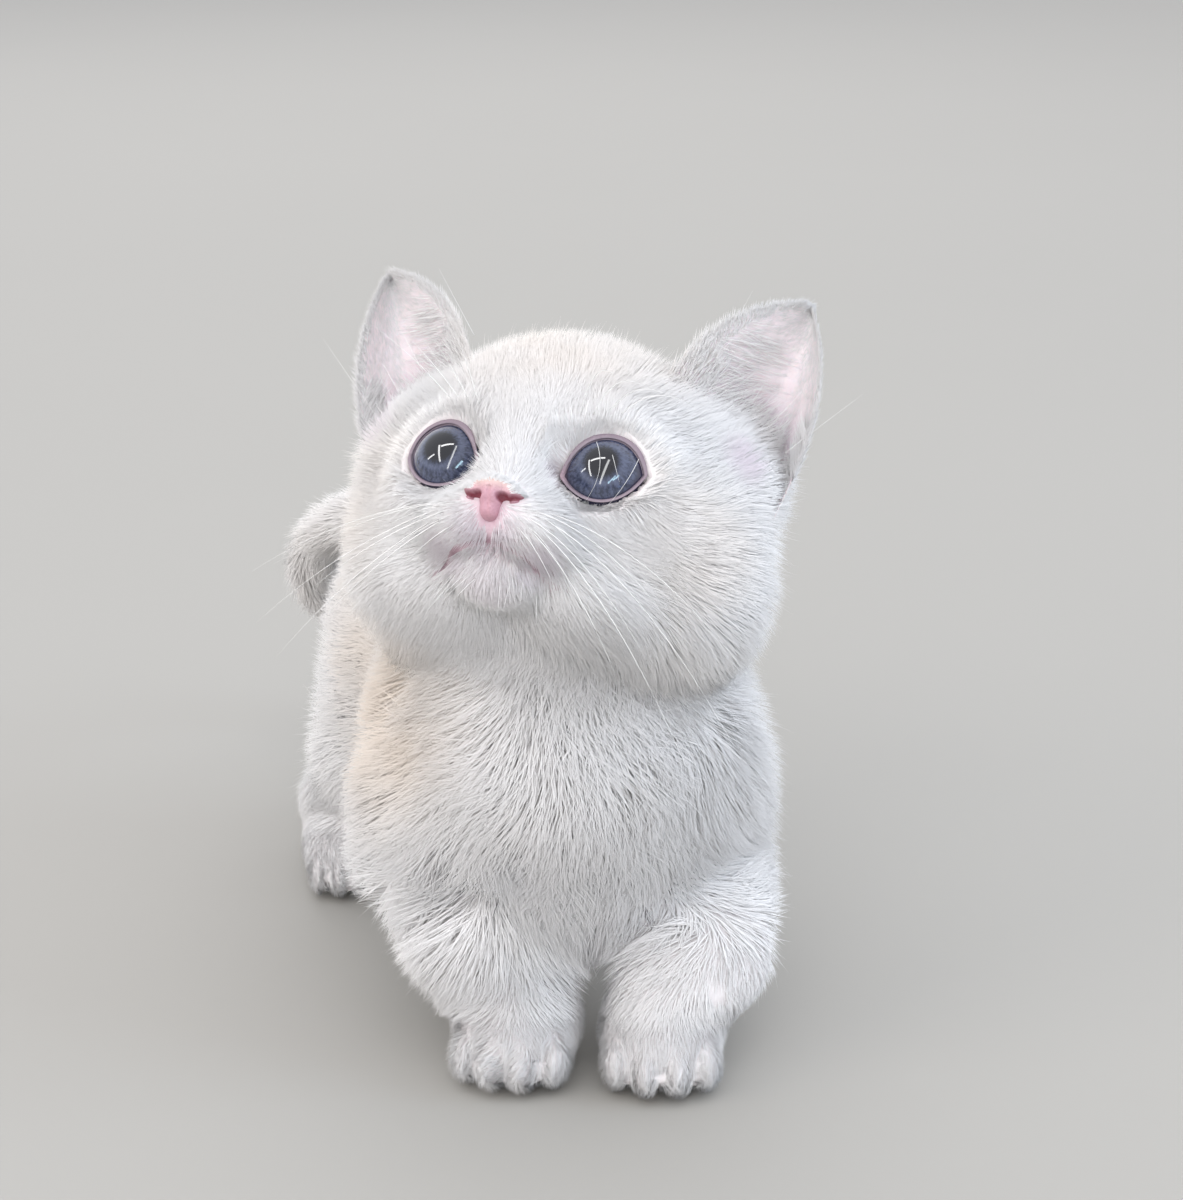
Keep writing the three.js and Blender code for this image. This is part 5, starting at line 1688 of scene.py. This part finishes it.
def coat_sets(tufts):
    """Which tufts go into which piece, the piece's slot and how many rings its tufts have."""
    roots = tufts["root"]
    part = shares(roots)
    h = to_head(roots)
    head = part["head"] > 0.5
    face = head & (h[:, 1] < 6)
    above = face & (h[:, 2] > -2)
    below = face & ~above
    muzzle = below & (h[:, 1] < -14)
    tail = ~head & (part["tail"] > 0.5)
    low = ~head & ~tail & (roots[:, 2] < 26)
    front = ~head & ~tail & ~low & (roots[:, 1] < -14)
    back = ~head & ~tail & ~low & ~front
    left, right = h[:, 0] >= 0, h[:, 0] < 0
    body_left, body_right = roots[:, 0] >= 0, roots[:, 0] < 0
    return {
        "coat_face_left": (above & left, "white_coat", 1),
        "coat_face_right": (above & right, "white_coat", 1),
        "coat_muzzle": (muzzle, "white_coat", 1),
        "coat_cheeks": (below & ~muzzle, "white_coat", 2),
        "coat_crown": (head & ~face, "white_coat", 2),
        "coat_chest_left": (front & body_left, "white_coat", 2),
        "coat_chest_right": (front & body_right, "white_coat", 2),
        "coat_trunk_left": (back & body_left, "cream_coat", 2),
        "coat_trunk_right": (back & body_right, "cream_coat", 2),
        "coat_foreleg_left": (low & (roots[:, 1] < 10) & body_left, "white_coat", 1),
        "coat_foreleg_right": (low & (roots[:, 1] < 10) & body_right, "white_coat", 1),
        "coat_hind_leg_left": (low & (roots[:, 1] >= 10) & body_left, "white_coat", 1),
        "coat_hind_leg_right": (low & (roots[:, 1] >= 10) & body_right, "white_coat", 1),
        "coat_tail": (tail, "cream_coat", 2),
    }


def unwrapped(roots):
    part = shares(roots)
    on_body = unwrap_body(roots, part["tail"] > 0.5)
    return np.where(part["head"][:, None] > 0.5, unwrap_head(to_head(roots)), on_body)


def grow_coat():
    """The tufts over the whole skin, sorted into pieces, and the wisps that stand out of them."""
    tufts = joined([skin_tufts(lambda p: by_part(p, TUFTS_TO_SQUARE_MM), 21), nose_tufts(24)])
    for number, (name, (chosen, slot, rings)) in enumerate(coat_sets(tufts).items()):
        mine = only(tufts, chosen)
        make_coat(name, slot, mine, unwrapped(mine["root"]), rings, 0.8, 40 + number)
    stray = {"longer": 1.25, "thinner": 0.42, "rise": 2.2}
    wisps = skin_tufts(lambda p: by_part(p, WISPS_TO_SQUARE_MM), 81, **stray)
    make_coat("coat_wisps", "white_coat", wisps, unwrapped(wisps["root"]), 2, 0.8, 60)


grow_coat()


# The ears' own fur

def ear_place(u, v, behind):
    """A place on the ear's front or back, its normal, and its directions across and up."""
    here = ear_sheet(u, v, behind)
    step = 0.004
    across = unit(ear_sheet(u + step, v, behind) - here)
    up = unit(ear_sheet(u, v + step, behind) - here)
    normal = unit(np.cross(across, up)) * np.where(behind > 0.5, -1.0, 1.0)[:, None]
    return here, normal, across, up


def ear_tufts(count, seed, u_range, v_range, behind, length, width, lift, lean):
    """Tufts on one side of an ear, over ranges of its two parameters. Lean gives how much they point across
    the ear, up it and away from its edges."""
    rng = np.random.default_rng(seed)
    count = int(count * QUICK)
    u = rng.uniform(*u_range, count)
    v = rng.uniform(*v_range, count)
    side = np.full(count, float(behind))
    root, normal, across, up = ear_place(u, v, side)
    narrow = mix(1.0, 0.55, np.clip(v, 0, 1))
    edge = np.where(u > 0.5, 1.0, -1.0) * ramp(np.abs(u - 0.5), 0.38, 0.5)
    lie = unit(lean[0] * across + lean[1] * up + lean[2] * edge[:, None] * across)
    lie = turned(lie, normal, rng.normal(0, 0.16, count))
    return {
        "root": root,
        "normal": normal,
        "lie": unit(lie - (lie * normal).sum(1, keepdims=True) * normal),
        "length": rng.uniform(*length, count) * narrow,
        "width": rng.uniform(*width, count),
        "lift": np.radians(lift + rng.normal(0, 5, count)),
        "droop": np.full(count, 0.08),
        "pull": np.zeros((count, 3)),
        "u": u,
        "v": v,
    }


# Each kind of ear fur: count, ranges across and up, front or back, lengths, widths, lift, and lean
EAR_DOWN = (
    (5200, (0.0, 1.0), (-0.12, 0.95), 1, (2.4, 3.8), (0.24, 0.34), 14, (0.0, 1.0, 0.3)),
    (1500, (0.93, 1.0), (-0.05, 0.95), 0, (2.4, 3.8), (0.18, 0.26), 8, (0.3, 1.0, 0.9)),
    (1500, (0.0, 0.07), (-0.05, 0.95), 0, (2.4, 3.8), (0.18, 0.26), 8, (-0.3, 1.0, 0.9)),
    (500, (0.0, 1.0), (0.86, 0.95), 0, (3.4, 5.0), (0.18, 0.26), 10, (0.0, 0.8, 0.9)),
    (500, (0.0, 0.14), (-0.25, 0.12), 0, (3.5, 6.0), (0.20, 0.30), 20, (-0.3, 1.0, 0.4)),
)
EAR_FRONT = (
    (7000, (0.04, 0.96), (-0.05, 0.94), 0, (1.2, 2.2), (0.10, 0.16), 9, (0.3, 0.9, 0.4)),
)
EAR_HAIR = (
    (220, (0.02, 0.26), (-0.05, 0.50), 0, (6.0, 11.0), (0.11, 0.17), 16, (1.0, 0.62, 0.0)),
    (260, (0.12, 0.60), (-0.16, 0.06), 0, (6.0, 10.0), (0.12, 0.18), 26, (0.35, 1.0, 0.0)),
    (260, (0.86, 1.0), (-0.16, 0.22), 0, (4.0, 7.0), (0.13, 0.20), 20, (-0.45, 0.85, 0.0)),
)


def make_ear_coat(name, sign, kinds, rings, soft):
    """One piece of an ear's fur, from several kinds of tufts that are all mirrored for the right ear."""
    sets = []
    for number, (count, u, v, behind, length, width, lift, lean) in enumerate(kinds):
        sets.append(ear_tufts(count, 300 + number, u, v, behind, length, width, lift, lean))
    tufts = joined(sets)
    uv = np.stack([0.02 + 0.96 * tufts.pop("u"), 0.15 + 0.84 * tufts.pop("v")], 1)
    flip = np.array((sign, 1.0, 1.0))
    tufts["root"] = from_head(tufts["root"] * flip)
    for key in ("normal", "lie"):
        tufts[key] = (tufts[key] * flip) @ HEAD_AXES.T
    make_coat(name, "white_coat", tufts, uv, rings, soft, 90 + sign)


for side_name, side in SIDES:
    make_ear_coat("coat_ear_" + side_name, side, EAR_DOWN, 1, 0)
    make_ear_coat("coat_ear_front_" + side_name, side, EAR_FRONT, 1, 0.85)
    make_ear_coat("coat_ear_hair_" + side_name, side, EAR_HAIR, 2, 0.6)


# Whiskers and other long hairs

def hair_bodies(roots, directions, lengths, widths, bends):
    """Each hair is a tapered tube: its middle line runs out along its direction and bends aside with the
    square of the way along, and its width falls to a fine tip."""
    t = np.linspace(0, 1, 14)
    parts = []
    for root, direction, length, width, bend in zip(roots, directions, lengths, widths, bends):
        line = root + length * (t[:, None] * direction + (t ** 2)[:, None] * bend)
        along = unit(np.gradient(line, axis=0))
        side = unit(np.cross(along, (0.31, 0.17, 0.93)))
        over = np.cross(along, side)
        around = np.linspace(0, 2 * np.pi, 6)[:-1]
        radius = width / 2 * (1 - 0.85 * t ** 1.3)
        ring = np.cos(around)[:, None] * side[:, None] + np.sin(around)[:, None] * over[:, None]
        parts.append(capped(line[:, None] + radius[:, None, None] * ring))
    return merged(parts)


def on_face_at(x, z):
    """The place on the face's outer surface straight behind a place in front of it, in the head's frame."""
    near, far = -60.0, -10.0
    for _ in range(24):
        half = (near + far) / 2
        outside = head_mass(np.array([[x, half, z]]))[0] > -0.8
        near, far = (half, far) if outside else (near, half)
    return np.array((x, near, z))


def make_whiskers():
    """Rows of whiskers on the pads, brow hairs over each eye, and fine hairs off the ears and the chin."""
    rng = np.random.default_rng(7)
    roots, directions, lengths, widths, bends = [], [], [], [], []

    def add(root, direction, length, width, bend):
        roots.append(from_head(root))
        directions.append(HEAD_AXES @ unit(np.array(direction, float)))
        lengths.append(length)
        widths.append(width)
        bends.append(np.array(bend, float))

    down = np.array((0, 0, -1.0)) @ HEAD_AXES
    for side_name, sign in SIDES:
        for row in range(WHISKERS["rows"]):
            for column in range(WHISKERS["columns"]):
                share = column / (WHISKERS["columns"] - 1)
                x = WHISKERS["x"] + column * WHISKERS["column_step"] + rng.uniform(-0.4, 0.4)
                z = WHISKERS["z"] - row * WHISKERS["row_step"] + rng.uniform(-0.3, 0.3)
                direction = unit(np.array((sign * 0.8, 0.02 + 0.12 * share, -0.12 - 0.22 * row)))
                length = mix(*WHISKER_LENGTH, share) * rng.uniform(0.85, 1.05)
                bend = WHISKER_SAG[side_name] / WHISKER_LENGTH[1] * down
                add(on_face_at(sign * x, z), direction, length, 0.15, HEAD_AXES @ bend)
        for root, run, bend in EYE_HAIRS[side_name]:
            length = np.linalg.norm(run)
            add(root, run, length, 0.09, HEAD_AXES @ np.array(bend) / length)
        for place in range(4):
            root = on_face_at(sign * (9.5 + 2.1 * place), 13.2 + 0.5 * place)
            lean = (sign * (0.25 + 0.22 * place), -0.75, 0.75)
            sag = (0.05 * sign, -0.10, -0.55) if sign > 0 else (0, 0, -0.15)
            add(root, lean, rng.uniform(15, 22), 0.14, sag)
        for place in range(5):
            root = np.array((sign * (24 + 4 * place), 2.0, 38 - 4.5 * place))
            lean = (sign * rng.uniform(0.3, 1.0), rng.uniform(-0.4, 0.4), 1.0)
            add(root, lean, rng.uniform(12, 20), 0.10, (0, 0, 0))
        for place in range(6):
            root = on_face_at(sign * rng.uniform(2, 8), -19 - rng.uniform(0, 2))
            add(root, (sign * rng.uniform(0.1, 0.4), -0.5, -0.8), rng.uniform(5, 9), 0.10, (0, 0, -0.1))
    points, faces = hair_bodies(roots, directions, lengths, widths, bends)
    mesh = make_mesh("whiskers", points, *faces)
    place_piece("whiskers", mesh, make_whisker_material(), "whisker")


make_whiskers()
